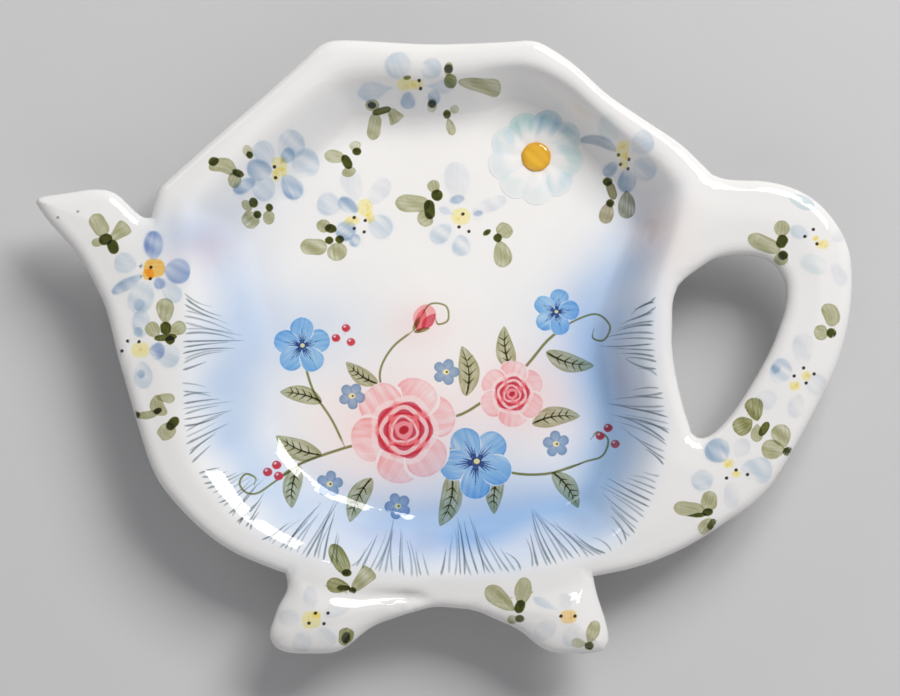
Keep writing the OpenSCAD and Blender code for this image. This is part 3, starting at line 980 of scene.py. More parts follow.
def rose(cx, cy, r, seed):
    """A brush-painted rose: outer petals, a shaded bowl with wiped lights."""
    rnd = random.Random(seed)

    def polar(deg, q):
        return cx + math.cos(math.radians(deg)) * q, cy - math.sin(math.radians(deg)) * q

    dab(cx, cy, r * 0.82, r * 0.80, 0, "round", None, strength=1.0, pool=0, streak=0, soft=0.12)
    start = rnd.uniform(0, 72)
    for k in range(6):
        a = start + 60 * k + rnd.uniform(-7, 7)
        x, y = polar(a, r * 0.63)
        dab(x, y, r * 0.41, r * 0.48, a, "petal", None, strength=1.0,
            pool=0, streak=0, soft=0.06)
        dab(x, y, r * 0.40, r * rnd.uniform(0.40, 0.47), a, "petal", ROSE_L, strength=0.95,
            pool=0.55, tip=-0.25, streak=0.16, soft=0.12, side=rnd.uniform(-0.3, 0.3), blot=0.1)
    dab(cx, cy, r * 0.55, r * 0.52, 20, "round", ROSE_M, strength=0.72, pool=0.15, streak=0.1,
        soft=0.5)
    for q, n, wd, lit, dark in ((0.60, 5, 0.17, 0.62, 0.62), (0.41, 4, 0.15, 0.66, 0.75),
                                (0.24, 3, 0.11, 0.6, 0.8)):
        off = rnd.uniform(0, 360)
        for k in range(n):
            a0 = off + 360 * k / n
            span = 360 / n * 1.02
            (x0, y0), (x1, y1) = polar(a0, r * q), polar(a0 + span, r * q)
            sag = r * q * (1 - math.cos(math.radians(span / 2)))
            stroke(x0, y0, x1, y1, r * wd, "leaf", None, bend=-sag, strength=lit, pool=0,
                   streak=0.12, soft=0.1)
            (x0, y0), (x1, y1) = polar(a0 + 6, r * q * 0.80), polar(a0 + span - 6, r * q * 0.80)
            stroke(x0, y0, x1, y1, r * wd * 0.72, "leaf", ROSE_D, bend=-sag * 0.8, strength=dark,
                   pool=0.1, streak=0.14, soft=0.14)
    blob(cx, cy, r * 0.10, r * 0.085, 30, ROSE_D)


def blossom(cx, cy, r, turn, seed):
    """A flat blue flower with a dark-rayed throat."""
    rnd = random.Random(seed)
    for k in range(5):
        a = turn + 72 * k + rnd.uniform(-5, 5)
        b = math.radians(a)
        x, y = cx + math.cos(b) * r * 0.56, cy - math.sin(b) * r * 0.56
        dab(x, y, r * 0.47, r * 0.44, a, "petal", None, strength=1.0, pool=0, streak=0, soft=0.06)
        dab(x, y, r * 0.46, r * 0.42, a, "petal", SKY, strength=0.92, pool=0.42, tip=0.30,
            streak=0.16, soft=0.12, side=rnd.uniform(-0.25, 0.25), blot=0.1)
        for o in (-22, -11, 0, 11, 22):
            c = math.radians(a + o)
            far = 0.66 if o == 0 else 0.54 - abs(o) * 0.006
            stroke(cx + math.cos(c) * r * 0.14, cy - math.sin(c) * r * 0.14,
                   cx + math.cos(c) * r * far, cy - math.sin(c) * r * far,
                   r * 0.05, "hair", NIGHT, strength=0.9, pool=0.05, soft=0.08)
    dab(cx, cy, r * 0.16, r * 0.15, 20, "round", NIGHT, strength=0.95, pool=0.1, soft=0.1)
    dab(cx + r * 0.02, cy - r * 0.02, r * 0.085, r * 0.08, 0, "round", None,
        strength=0.95, pool=0.0, streak=0, soft=0.1)
    dab(cx + r * 0.02, cy - r * 0.02, r * 0.10, r * 0.09, 0, "round", YELLOW,
        strength=0.95, pool=0.0, soft=0.1)


def big_leaf(x0, y0, x1, y1, width, bend=0.0, paint=LEAF):
    stroke(x0, y0, x1, y1, width, "leaf", paint, bend=bend, strength=0.97, pool=0.38,
           streak=0.2, soft=0.1, blot=0.15)
    stroke(x0, y0, x0 + (x1 - x0) * 0.92, y0 + (y1 - y0) * 0.92, 2.4, "hair", DARK,
           bend=bend * 0.95, strength=0.95, pool=0.05, soft=0.07)
    dx, dy = x1 - x0, y1 - y0
    n = math.hypot(dx, dy)
    ux, uy = dx / n, dy / n
    for k, t in enumerate((0.24, 0.40, 0.56, 0.70)):
        off = bend * 4 * t * (1 - t)
        px, py = x0 + dx * t + uy * off, y0 + dy * t - ux * off
        for side in (-1, 1):
            l = width * 0.36 * (1 - abs(t - 0.45))
            stroke(px, py, px + ux * l * 0.9 - uy * side * l, py + uy * l * 0.9 + ux * side * l,
                   1.7, "hair", DARK, strength=0.7, pool=0.05, soft=0.07)


def berries(spots, r=5.0, paint=(0.72, 0.045, 0.06)):
    for x, y in spots:
        dab(x, y, r, r * 0.95, 0, "round", None, strength=1.0, pool=0, streak=0, soft=0.08)
        blob(x, y, r, r * 0.95, 0, paint)
        dab(x - r * 0.3, y - r * 0.35, r * 0.32, r * 0.24, 30, "round", None,
            strength=0.75, pool=0, streak=0, soft=0.1)


def little_flower(cx, cy, r, turn, paint=BLUE):
    for k in range(5):
        a = turn + 72 * k
        b = math.radians(a)
        for p, st in ((None, 0.9), (paint, 0.9)):
            dab(cx + math.cos(b) * r * 0.62, cy - math.sin(b) * r * 0.62, r * 0.5, r * 0.45, a,
                "petal", p, strength=st, pool=0.4 if p else 0, tip=0.3 if p else 0,
                streak=0.08 if p else 0, soft=0.12)
    dab(cx, cy, r * 0.27, r * 0.25, 0, "round", None, strength=1, pool=0, streak=0, soft=0.1)
    dab(cx, cy, r * 0.27, r * 0.25, 0, "round", YELLOW, strength=0.95, pool=0, soft=0.1)
    blob(cx + 0.8, cy, 1.2, 1.1, 0, INK)


def bouquet():
    dark = LEAF_D
    line([(276, 481), (300, 464), (345, 448), (372, 442)], 2.8, dark)
    line([(440, 420), (470, 410), (520, 372), (548, 340), (572, 322)], 2.8, dark)
    line([(440, 444), (500, 470), (545, 474), (584, 462)], 2.6, dark)
    line([(345, 447), (332, 420), (314, 392), (304, 362)], 2.4, dark)
    line([(384, 398), (380, 372), (392, 348), (414, 330)], 2.2, dark)
    line([(558, 333), (572, 322), (596, 314), (610, 326), (604, 340), (593, 338), (594, 328)],
         1.9, dark)
    line([(304, 462), (276, 481), (258, 493), (246, 492), (240, 483), (246, 474), (256, 478),
          (254, 486)], 2.0, dark)
    line([(420, 318), (430, 304), (446, 306), (448, 320), (438, 324), (435, 316)], 1.8, dark)
    line([(566, 470), (584, 462), (602, 456), (608, 440), (598, 432), (590, 440)], 1.9, dark)
    big_leaf(322, 455, 276, 436, 21, 4)
    big_leaf(300, 466, 292, 508, 19, -4)
    big_leaf(452, 474, 440, 526, 23, 5)
    big_leaf(372, 478, 350, 522, 21, -4)
    big_leaf(466, 396, 462, 346, 22, -5)
    big_leaf(546, 352, 594, 366, 20, -4)
    big_leaf(512, 372, 504, 326, 19, 3)
    big_leaf(532, 424, 580, 416, 20, 4)
    big_leaf(552, 472, 578, 508, 19, 4)
    big_leaf(322, 402, 280, 392, 18, -3)
    big_leaf(378, 384, 346, 362, 17, 3)
    big_leaf(500, 470, 494, 514, 18, -3)
    blossom(302, 346, 28, 20, 3)
    blossom(476, 462, 36, 48, 4)
    blossom(556, 312, 23, 75, 5)
    rose(404, 430, 52, 8)
    rose(512, 394, 32, 9)
    # a half-open bud
    dab(424, 318, 14, 11, 62, "petal", ROSE_L, strength=1.0, tip=0.3)
    dab(421, 320, 12, 6, 76, "leaf", ROSE_M, strength=0.85)
    dab(429, 321, 10, 5, 48, "leaf", ROSE_D, strength=0.6)
    leaf(413, 331, 420, 316, 5, "leaf", LEAF_D)
    leaf(414, 332, 430, 328, 5, "leaf", LEAF_D)
    berries([(268, 472), (277, 465), (279, 476)], 4.8)
    berries([(600, 436), (615, 444), (608, 428)], 4.6)
    berries([(336, 338), (346, 328), (351, 342)], 4.4)
    little_flower(330, 484, 12, 10)
    little_flower(398, 506, 12, 40)
    little_flower(556, 444, 12, 25)
    little_flower(446, 372, 12, 0)
    little_flower(352, 396, 12, 60)


def feather_edge():
    """Fine brush lines across the shoulder of the well, in scallops."""
    rnd = random.Random(21)
    n = len(BODY)
    i0, i1 = ROW_AT[20], ROW_AT[49]
    run = [i % n for i in range(i0, i1)]
    pos = [SHOULDER[i] + INWARD[i] * WALL_W[i] * 0.05 for i in run]
    arc = [0.0]
    for a, b in zip(pos[:-1], pos[1:]):
        arc.append(arc[-1] + float(np.linalg.norm(b - a)))
    total = arc[-1]
    group = 12.0
    count = int(total / group)
    group = total / count
    per = 14
    for g in range(count):
        tall = rnd.uniform(0.85, 1.2)
        for k in range(per):
            f = (k + 0.5 + rnd.uniform(-0.28, 0.28)) / per
            s = (g + 0.04 + 0.92 * f) * group
            j = int(np.searchsorted(arc, s)) - 1
            j = max(0, min(j, len(pos) - 2))
            u = (s - arc[j]) / max(arc[j + 1] - arc[j], 1e-9)
            p = pos[j] * (1 - u) + pos[j + 1] * u
            d = INWARD[run[j]]
            side = np.array([-d[1], d[0]])
            ln = (2.9 + 4.6 * math.sin(math.pi * f)) * tall * rnd.uniform(0.74, 1.14)
            lean = (f - 0.5) * 0.62 + rnd.uniform(-0.07, 0.07)
            q = p + (d - side * lean) * ln
            p = p - d * rnd.uniform(0.0, 0.5)
            stroke(0, 0, 0, 0, rnd.uniform(1.9, 3.0), "hair", SMOKE, flat=(p, q),
                   bend=rnd.uniform(-3.4, 3.4), strength=rnd.uniform(0.24, 0.62), pool=0.05,
                   streak=0.2, soft=0.15)


feather_edge()
bouquet()
sprigs()

WHITE = np.array([0.80, 0.788, 0.778])


def near(P, x, y, rx, ry, power=2.0):
    c = at(x, y)
    q = ((P[:, 0] - c[0]) / (rx * UNIT)) ** 2 + ((P[:, 1] - c[1]) / (ry * UNIT)) ** 2
    return np.exp(-q ** (power / 2))


def base_colour(P):
    """The sprayed ground under the glaze, with painted shade on the rim, linear RGB."""
    P = np.asarray(P, float)
    C = np.tile(WHITE, (len(P), 1))
    inn = sample(WELL_IN, P)            # mm inside the shoulder line
    r = random.Random(4)
    mott = 0
    for _ in range(6):
        k, a, ph = r.uniform(0.3, 0.9), r.uniform(0, 6.28), r.uniform(0, 6.28)
        mott = mott + np.sin(k * (P[:, 0] * math.cos(a) + P[:, 1] * math.sin(a)) + ph)
    mott = mott / 6
    # painted shade on the rim: darkened a little all round and more towards the bottom of the dish, in a
    # faintly warm tone
    rim_shade_towards_bottom = 0.5 - 0.5 * np.sin(np.radians(np.degrees(np.arctan2(P[:, 1], P[:, 0] + 3))))
    k = (1 - smooth((inn + 1.0) / 3.0)) * (0.06 + 0.065 * rim_shade_towards_bottom)
    C = C * (1 - k[:, None] * np.array([1.0, 0.97, 0.92]))
    # blue sprayed along the wall, strongest at the right and lower right
    ang = np.degrees(np.arctan2(P[:, 1] - 2, P[:, 0] + 3))
    right = np.exp(-((ang + 18) / 62) ** 2) * (1 - smooth((ang - 14) / 34))
    left = np.exp(-(((ang - 188 + 180) % 360 - 180) / 42) ** 2)
    low = np.exp(-((ang + 92) / 46) ** 2)
    band = np.exp(-((inn - 7.5 + 1.4 * mott) / 5.4) ** 2)
    k = band * np.clip(0.95 * right + 0.62 * left + 0.62 * low, 0, 1) * (1 + 0.25 * mott)
    k *= smooth((inn + 1.5) / 2.5)
    k = np.clip(k, 0, 1)[:, None]
    C = C * (1 - k + k * np.array([0.40, 0.60, 0.90]))
    # soft touches of blue and pink on the floor
    for x, y, rx, ry, st in ((300, 330, 70, 44, 0.42), (590, 330, 62, 52, 0.40),
                             (484, 470, 80, 52, 0.36), (186, 236, 36, 26, 0.55),
                             (430, 545, 120, 26, 0.30)):
        a = (near(P, x, y, rx, ry) * st)[:, None]
        C = C * (1 - a + a * np.array([0.45, 0.64, 0.92]))
    for x, y, rx, ry, st in ((396, 430, 74, 56, 0.55), (526, 398, 52, 44, 0.5),
                             (420, 325, 34, 26, 0.35), (656, 232, 26, 34, 0.30),
                             (208, 246, 26, 22, 0.38)):
        a = (near(P, x, y, rx, ry) * st)[:, None]
        C = C * (1 - a + a * np.array([1.0, 0.64, 0.62]))
    return C


# ------------------------------------------------------------------- meshes

def mesh_object(name, verts, faces, mats, colours=None, normals=None, face_mat=None,
                flat_faces=()):
    me = bpy.data.meshes.new(name)
    me.from_pydata([tuple(v) for v in np.asarray(verts) * MM], [], faces)
    me.validate(clean_customdata=False)
    me.polygons.foreach_set("use_smooth", [True] * len(me.polygons))
    if face_mat is not None:
        me.polygons.foreach_set("material_index", face_mat)
    for m in mats:
        me.materials.append(m)
    if colours is not None:
        a = me.color_attributes.new("Col", "FLOAT_COLOR", "POINT")
        rgba = np.ones((len(verts), 4), np.float32)
        rgba[:, :colours.shape[1]] = colours
        a.data.foreach_set("color", rgba.ravel())
    if normals is not None:
        me.normals_split_custom_set(normals)
    me.update()
    ob = bpy.data.objects.new(name, me)
    bpy.context.scene.collection.objects.link(ob)
    return ob


def hex_points(loop, step):
    x0, y0 = loop.min(0)
    x1, y1 = loop.max(0)
    rows = int((y1 - y0) / (step * 0.866)) + 2
    cols = int((x1 - x0) / step) + 2
    out = []
    for j in range(rows):
        for i in range(cols):
            out.append((x0 + (i + 0.5 * (j % 2)) * step, y0 + j * step * 0.866))
    P = np.array(out)
    return P[inside(P, loop)]


def all_mark_points():
    """The points of every mark, thinned to one in each small square."""
    P = np.concatenate([mark_points(s) for s in STROKES])
    key = np.round(P / 0.05).astype(np.int64)
    _, first = np.unique(key[:, 0] * 100003 + key[:, 1], return_index=True)
    return P[np.sort(first)]


MARK_POINTS = all_mark_points()


def triangulate(piece, step):
    loop, free = LOOPS[piece]
    area = 0.5 * np.sum(loop[:, 0] * np.roll(loop[:, 1], -1)
                        - np.roll(loop[:, 0], -1) * loop[:, 1])
    if area < 0:
        loop = loop[::-1].copy()
        free = np.roll(free[::-1], -1).copy()
    n = len(loop)
    nxt, prv = np.roll(loop, -1, axis=0), np.roll(loop, 1, axis=0)
    tan = nxt - prv
    tan /= np.linalg.norm(tan, axis=1)[:, None]
    inn = np.stack([-tan[:, 1], tan[:, 0]], 1)
    keep = free | np.roll(free, 1)
    pts = [loop]
    count = n
    edges = []
    for r in RINGS:
        q = loop + inn * r
        ok = keep & inside(q, loop)
        ok[ok] = seg_dist(q[ok], loop, nxt) > r * 0.9
        at = np.full(n, -1)
        at[ok] = count + np.arange(ok.sum())
        for i in range(n):
            j = (i + 1) % n
            if free[i] and at[i] >= 0 and at[j] >= 0:
                edges.append((int(at[i]), int(at[j])))
        pts.append(q[ok])
        count += int(ok.sum())
    grid = hex_points(loop, step)
    d_free = near_dist(grid, 3.0)
    ja, jb = loop[~free], nxt[~free]
    d_all = np.minimum(d_free, seg_dist(grid, ja, jb))
    grid = grid[(d_all > 0.3 * step) & (d_free > RINGS[-1] + 0.45 * step)]
    marks = MARK_POINTS[inside(MARK_POINTS, loop)]
    marks = marks[(near_dist(marks, 1.0) > 0.12) & (seg_dist(marks, ja, jb) > 0.12)]
    if len(marks):
        cell = 0.4
        busy = {(int(a // cell), int(b // cell)) for a, b in marks}
        grid = np.array([p for p in grid
                         if (int(p[0] // cell), int(p[1] // cell)) not in busy])
    pts += [grid, marks]
    pts = np.concatenate(pts)
    res = delaunay_2d_cdt([Vector(p) for p in pts], edges, [list(range(n))], 1, 1e-5)
    out = np.array([tuple(v) for v in res[0]])
    origin = [min(o) if o else -1 for o in res[3]]
    place = {}
    for k, o in enumerate(origin):
        if 0 <= o < n:
            place[o] = k
    ring = [place[i] for i in range(n)]
    tris = [tuple(f) for f in res[2]]
    # counter-clockwise as seen from above
    fixed = []
    for f in tris:
        a, b, c = out[f[0]], out[f[1]], out[f[2]]
        s = (b[0] - a[0]) * (c[1] - a[1]) - (b[1] - a[1]) * (c[0] - a[0])
        fixed.append(f if s > 0 else (f[0], f[2], f[1]))
    return out, fixed, ring, free


def tri_normals(V, F):
    a, b, c = V[F[:, 0]], V[F[:, 1]], V[F[:, 2]]
    return np.cross(b - a, c - a)


def slope_normals(P, piece, e=0.12):
    """Normals of the top and of the underside, side by side."""
    n = len(P)
    q = np.concatenate([P + [e, 0], P - [e, 0], P + [0, e], P - [0, e]])
    both = []
    for z, up in zip(heights(q, piece)[:2], (1.0, -1.0)):
        v = np.stack([up * (z[n:2 * n] - z[:n]) / (2 * e),
                      up * (z[3 * n:] - z[2 * n:3 * n]) / (2 * e), np.full(n, up)], 1)
        both.append(v / np.linalg.norm(v, axis=1)[:, None])
    return np.concatenate(both, axis=1)


def shading_normals(P, piece):
    """Normals from the slopes of the two faces; across a join the two pieces
    share the mean of theirs."""
    out = slope_normals(P, piece)
    limbs = [k for k in JOINTS if piece in ("dish_body", k)]
    for k in limbs:
        dist = seg_dist(P, *JOINTS[k])
        m = dist < 1.2
        other = slope_normals(P[m], k if piece == "dish_body" else "dish_body")
        w = (0.5 * (1 - smooth(dist[m] / 1.2)))[:, None]
        out[m] = out[m] * (1 - w) + other * w
    top, under = out[:, :3], out[:, 3:]
    return (top / np.linalg.norm(top, axis=1)[:, None],
            under / np.linalg.norm(under, axis=1)[:, None])


def build_casting(materials, step=0.52):
    """The pot, spout, handle and feet: closed pieces that meet face to face.
    Their shading normals are shared across the joins, as the glaze is."""
    data = {}
    total = {}
    for k in LOOPS:
        P, tris, ring, free = triangulate(k, step)
        zt, zb, d = heights(P, k)
        n = len(P)
        on_free = set()
        m = len(ring)
        for i in range(m):
            if free[i]:
                on_free.add(ring[i])
                on_free.add(ring[(i + 1) % m])
        low = list(range(n))
        verts = [(*P[i], zt[i]) for i in range(n)]
        for i in range(n):
            if i in on_free:
                verts[i] = (*P[i], MID_Z)
            else:
                low[i] = len(verts)
                verts.append((*P[i], zb[i]))
        V = np.array(verts)
        F = np.array(tris)
        G = np.array([(low[a], low[c], low[b]) for a, b, c in tris])
        acc = np.zeros((len(V), 3))
        for faces in (F, G):
            nr = tri_normals(V, faces)
            for q in range(3):
                np.add.at(acc, faces[:, q], nr)
        caps = []
        for i in range(m):
            if not free[i]:
                a, b = ring[i], ring[(i + 1) % m]
                la, lb = low[a], low[b]
                quad = [a, la, lb, b]
                quad = [v for j, v in enumerate(quad) if v != quad[j - 1]]
                if len(quad) >= 3:
                    caps.append(tuple(quad))
        soft, soft_low = shading_normals(P, k)
        inner = smooth((d - 0.3) / 0.4)[:, None]
        data[k] = (V, F, G, caps, acc, ring, soft, soft_low, inner, np.array(low), d)
        for v in set(ring) | {low[r] for r in ring}:
            key = (round(V[v][0], 3), round(V[v][1], 3), round(V[v][2], 2))
            total[key] = total.get(key, 0) + acc[v]
    objs = {}
    for k, (V, F, G, caps, acc, ring, soft, soft_low, inner, low, edge) in data.items():
        for v in range(len(V)):
            key = (round(V[v][0], 3), round(V[v][1], 3), round(V[v][2], 2))
            if key in total:
                acc[v] = total[key]
        nv = acc / np.maximum(np.linalg.norm(acc, axis=1), 1e-12)[:, None]
        n = len(inner)
        two = low >= n
        under = low[two]
        nv[:n] = nv[:n] * (1 - inner) + soft * inner
        nv[under] = nv[under] * (1 - inner[two]) + soft_low[two] * inner[two]
        nv /= np.maximum(np.linalg.norm(nv, axis=1), 1e-12)[:, None]
        faces = [tuple(int(x) for x in f) for f in F] + \
                [tuple(int(x) for x in f) for f in G] + [tuple(int(x) for x in c) for c in caps]
        loops = []
        for f in faces[:len(F) + len(G)]:
            loops.extend(nv[v] for v in f)
        for f in caps:
            a, b, c = V[f[0]], V[f[1]], V[f[2]]
            cn = np.cross(b - a, c - a)
            cn = cn / max(np.linalg.norm(cn), 1e-12)
            loops.extend(cn for _ in f)
        # marks end just short of the edge's upright side
        ground = base_colour(V[:, :2])
        cols = paint_over(V[:, :2], ground.copy())
        keep = smooth((edge - 0.06) / 0.32)[:, None]
        cols[:n] = ground[:n] * (1 - keep) + cols[:n] * keep
        # the underside is plain white
        under = V[:, 2] < MID_Z - 0.01
        is_low = np.zeros(len(V), bool)
        is_low[G.ravel()] = True
        is_low[F.ravel()] = False
        cols[is_low | (under & is_low)] = WHITE
        objs[k] = mesh_object("glazed_" + k, V, faces, [materials["glaze"]], cols, loops)
    return objs


def node(tree, kind, **inputs):
    n = tree.nodes.new(kind)
    for k, v in inputs.items():
        if k in n.inputs:
            n.inputs[k].default_value = v
        else:
            setattr(n, k, v)
    return n


def glaze_material(name, rough=0.04):
    """Clear glaze over painted clay: the colour is carried by the mesh."""
    m = bpy.data.materials.new(name)
    m.use_nodes = True
    t = m.node_tree
    bsdf = t.nodes["Principled BSDF"]
    bsdf.inputs["IOR"].default_value = 1.54
    bsdf.inputs["Roughness"].default_value = rough
    col = t.nodes.new("ShaderNodeVertexColor")
    col.layer_name = "Col"
    geo = t.nodes.new("ShaderNodeTexCoord")
    # the clay shows through in faint clouds
    cloud = node(t, "ShaderNodeTexNoise", Scale=90.0, Detail=3.0, Roughness=0.55)
    t.links.new(geo.outputs["Object"], cloud.inputs["Vector"])
    ramp = t.nodes.new("ShaderNodeMapRange")
    ramp.inputs["To Min"].default_value = 0.955
    ramp.inputs["To Max"].default_value = 1.035
    t.links.new(cloud.outputs["Fac"], ramp.inputs["Value"])
    mul = t.nodes.new("ShaderNodeVectorMath")
    mul.operation = "SCALE"
    t.links.new(col.outputs["Color"], mul.inputs[0])
    t.links.new(ramp.outputs["Result"], mul.inputs["Scale"])
    t.links.new(mul.outputs["Vector"], bsdf.inputs["Base Color"])
    # glaze surface: faint ripple and pin-prick orange peel
    ripple = node(t, "ShaderNodeTexNoise", Scale=420.0, Detail=2.0, Roughness=0.5)
    t.links.new(geo.outputs["Object"], ripple.inputs["Vector"])
    bump = t.nodes.new("ShaderNodeBump")
    bump.inputs["Strength"].default_value = 0.06
    bump.inputs["Distance"].default_value = 0.0004
    t.links.new(ripple.outputs["Fac"], bump.inputs["Height"])
    t.links.new(bump.outputs["Normal"], bsdf.inputs["Normal"])
    return m


def clay_material(name):
    m = bpy.data.materials.new(name)
    m.use_nodes = True
    t = m.node_tree
    bsdf = t.nodes["Principled BSDF"]
    bsdf.inputs["Roughness"].default_value = 0.85
    geo = t.nodes.new("ShaderNodeTexCoord")
    noise = node(t, "ShaderNodeTexNoise", Scale=700.0, Detail=5.0, Roughness=0.6)
    t.links.new(geo.outputs["Object"], noise.inputs["Vector"])
    ramp = t.nodes.new("ShaderNodeValToRGB")
    ramp.color_ramp.elements[0].position = 0.3
    ramp.color_ramp.elements[0].color = (0.50, 0.43, 0.34, 1)
    ramp.color_ramp.elements[1].position = 0.7
    ramp.color_ramp.elements[1].color = (0.72, 0.66, 0.57, 1)
    t.links.new(noise.outputs["Fac"], ramp.inputs["Fac"])
    t.links.new(ramp.outputs["Color"], bsdf.inputs["Base Color"])
    bump = t.nodes.new("ShaderNodeBump")
    bump.inputs["Strength"].default_value = 0.5
    bump.inputs["Distance"].default_value = 0.0001
    t.links.new(noise.outputs["Fac"], bump.inputs["Height"])
    t.links.new(bump.outputs["Normal"], bsdf.inputs["Normal"])
    return m


MATERIALS = {"glaze": glaze_material("clear_glaze"), "clay": clay_material("bare_clay")}

PIECES = build_casting(MATERIALS)
for name, ob in PIECES.items():
    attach(ob, "root")
    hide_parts(name)


# ----------------------------------------------------------------- foot ring

def foot_ring():
    prof = []
    r0, r1, rr = 17.0, 20.0, 0.6
    for a in np.linspace(180, 270, 6):
        prof.append((r0 + rr + rr * math.cos(math.radians(a)), rr + rr * math.sin(math.radians(a))))
    for a in np.linspace(270, 360, 6):
        prof.append((r1 - rr + rr * math.cos(math.radians(a)), rr + rr * math.sin(math.radians(a))))
    prof += [(r1, 1.2), (r1 + 0.1, 1.75), (r0 - 0.1, 1.75), (r0, 1.2)]
    n = 144
    verts, faces = [], []
    rnd = random.Random(5)
    ph = [rnd.uniform(0, math.tau) for _ in range(4)]
    for i in range(n):
        a = math.tau * i / n
        w = 0.05 * math.sin(3 * a + ph[0]) + 0.03 * math.sin(7 * a + ph[1])
        for r, z in prof:
            verts.append((RING_C[0] + (r + w) * math.cos(a), RING_C[1] + (r + w) * math.sin(a), z))
    m = len(prof)
    for i in range(n):
        for j in range(m):
            a, b = i * m + j, i * m + (j + 1) % m
            c, d = ((i + 1) % n) * m + (j + 1) % m, ((i + 1) % n) * m + j
            faces.append((a, d, c, b))
    ob = mesh_object("ground_foot_ring", np.array(verts), faces, [MATERIALS["clay"]])
    return ob


def lift_grid(name, cx, cy, radii, turns, height, colour, mats, sink=0.25, outline=None):
    """A closed low relief on the glaze: height and colour by radius and angle.
    With an outline the radii are parts of the way from the first to it."""
    faces = []
    rr = np.repeat(np.array(radii, float), turns)
    aa = np.tile(np.arange(turns) * math.tau / turns, len(radii))
    if outline is not None:
        r0, r1 = radii[0], radii[-1]
        rr = r0 + (rr - r0) / (r1 - r0) * (outline(aa) - r0)
    P = np.stack([cx + rr * np.cos(aa), cy + rr * np.sin(aa)], 1)
    z = top_of(P)
    h = height(rr, aa)
    n = len(P)
    verts = np.column_stack([P, z + h])
    low = np.column_stack([P, np.minimum(z, z + h) - sink])
    c = colour(rr, aa, P)
    verts = np.concatenate([verts, low])
    cols = np.concatenate([c, c])
    m = len(radii)
    for j in range(m - 1):
        for k in range(turns):
            q = (k + 1) % turns
            a, b, d, e = j * turns + k, j * turns + q, (j + 1) * turns + q, (j + 1) * turns + k
            faces.append((a, e, d, b))
            faces.append((n + a, n + b, n + d, n + e))
    for k in range(turns):
        q = (k + 1) % turns
        faces.append(((m - 1) * turns + k, n + (m - 1) * turns + k,
                      n + (m - 1) * turns + q, (m - 1) * turns + q))
        if radii[0] > 0:
            faces.append((k, q, n + q, n + k))
    return mesh_object(name, verts, faces, mats, cols)


PETAL_N = 9


def petal_place(a):
    """Across a petal from -1 to 1, and its number."""
    u = (a / math.tau * PETAL_N - 0.3) % PETAL_N
    k = np.floor(u)
    return (u - k - 0.5) * 2, k


def petal_edge(a):
    x, k = petal_place(a)
    u = a / math.tau * PETAL_N - 0.3
    reach = 6.85 * (1 + 0.022 * np.sin(u * 1.4 + 0.7) + 0.012 * np.sin(u * 2.1))
    wrap = smooth((a - (math.tau - 0.5)) / 0.5)
    u0 = u - PETAL_N
    again = 6.85 * (1 + 0.022 * np.sin(u0 * 1.4 + 0.7) + 0.012 * np.sin(u0 * 2.1))
    reach = reach * (1 - wrap) + again * wrap
    return reach * (1 - 0.12 * np.abs(x) ** 2.2)


def petal_form(r, a):
    """How far inside the end of its petal, and its place there."""
    x, k = petal_place(a)
    return petal_edge(a) - r, x, k


def daisy_height(r, a):
    deep, x, k = petal_form(r, a)
    out = smooth((deep + 0.35) / 2.6)
    across = 0.5 + 0.5 * np.cos(math.pi * x)
    h = 0.17 * out * (0.50 + 0.50 * across)
    h *= 0.75 + 0.25 * smooth((r - 1.8) / 3.0)
    return h + 0.022


def daisy_colour(r, a, P):
    deep, x, k = petal_form(r, a)
    n = mark_noise(77, x * 0.9 + k * 1.7, r * 0.14 + k)
    n2 = mark_noise(31, x * 2.6 + k * 2.3, r * 0.10 + k)
    rnd = random.Random(12)
    tone = np.array([rnd.uniform(0.25, 1.0) for _ in range(PETAL_N)])[k.astype(int) % PETAL_N]
    tone = tone * (0.70 + 0.45 * np.clip(P[:, 1] - DAISY[1], -5, 5) / 5)
    q = smooth((r - 3.1 + 0.9 * n) / 2.4) * (1 - 0.45 * smooth((0.75 - deep + 0.3 * n2) / 0.7))
    w = np.clip(tone * q * (0.86 + 0.24 * n2) + 0.09 * np.abs(x) ** 5 * smooth((r - 2) / 2),
                0, 1)[:, None]
    hue = (0.5 + 0.5 * np.sin(k * 2.1 + 0.6 * n))[:, None]
    tint = np.array([0.38, 0.64, 0.82]) * hue + np.array([0.50, 0.77, 0.77]) * (1 - hue)
    c = np.tile(WHITE, (len(r), 1))
    c = c * tint ** w
    shade = np.clip(1 - (r - 2.0) / 0.8, 0, 1)[:, None] * 0.30
    return c * (1 - shade + shade * np.array([0.98, 0.84, 0.55]))


radii = [1.7, 1.9] + [2.1 + 0.15 * i for i in range(28)] + [6.3, 6.42, 6.52, 6.6, 6.66, 6.7]
petals = lift_grid("daisy_relief", DAISY[0], DAISY[1], radii, 540, daisy_height, daisy_colour,
                   [MATERIALS["glaze"]], outline=petal_edge)
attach(petals, "root")
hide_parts("daisy_petals")


def button_height(r, a):
    dome = np.clip(1 - (r / 2.1) ** 5, 0, 1) ** 0.62
    n = mark_noise(5, r * np.cos(a) * 0.55, r * np.sin(a) * 0.24)
    return 0.16 + 0.40 * dome + 0.03 * n * dome


def button_colour(r, a, P):
    n = mark_noise(9, r * np.cos(a) * 0.9, r * np.sin(a) * 0.35)
    c = np.tile(WHITE, (len(r), 1)) * np.array([0.90, 0.52, 0.045])
    k = np.clip(0.34 * smooth((r - 1.1) / 0.9) + 0.26 * n, 0, 1)[:, None]
    return c * (1 - k + k * np.array([0.86, 0.66, 0.45]))


radii = [0.02] + [0.1 + 0.13 * i for i in range(14)] + [1.88, 1.96, 2.02, 2.06, 2.09]
button = lift_grid("daisy_middle", DAISY[0], DAISY[1], radii, 120, button_height, button_colour,
                   [MATERIALS["glaze"]], sink=0.6)
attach(button, "root")
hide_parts("daisy_button")

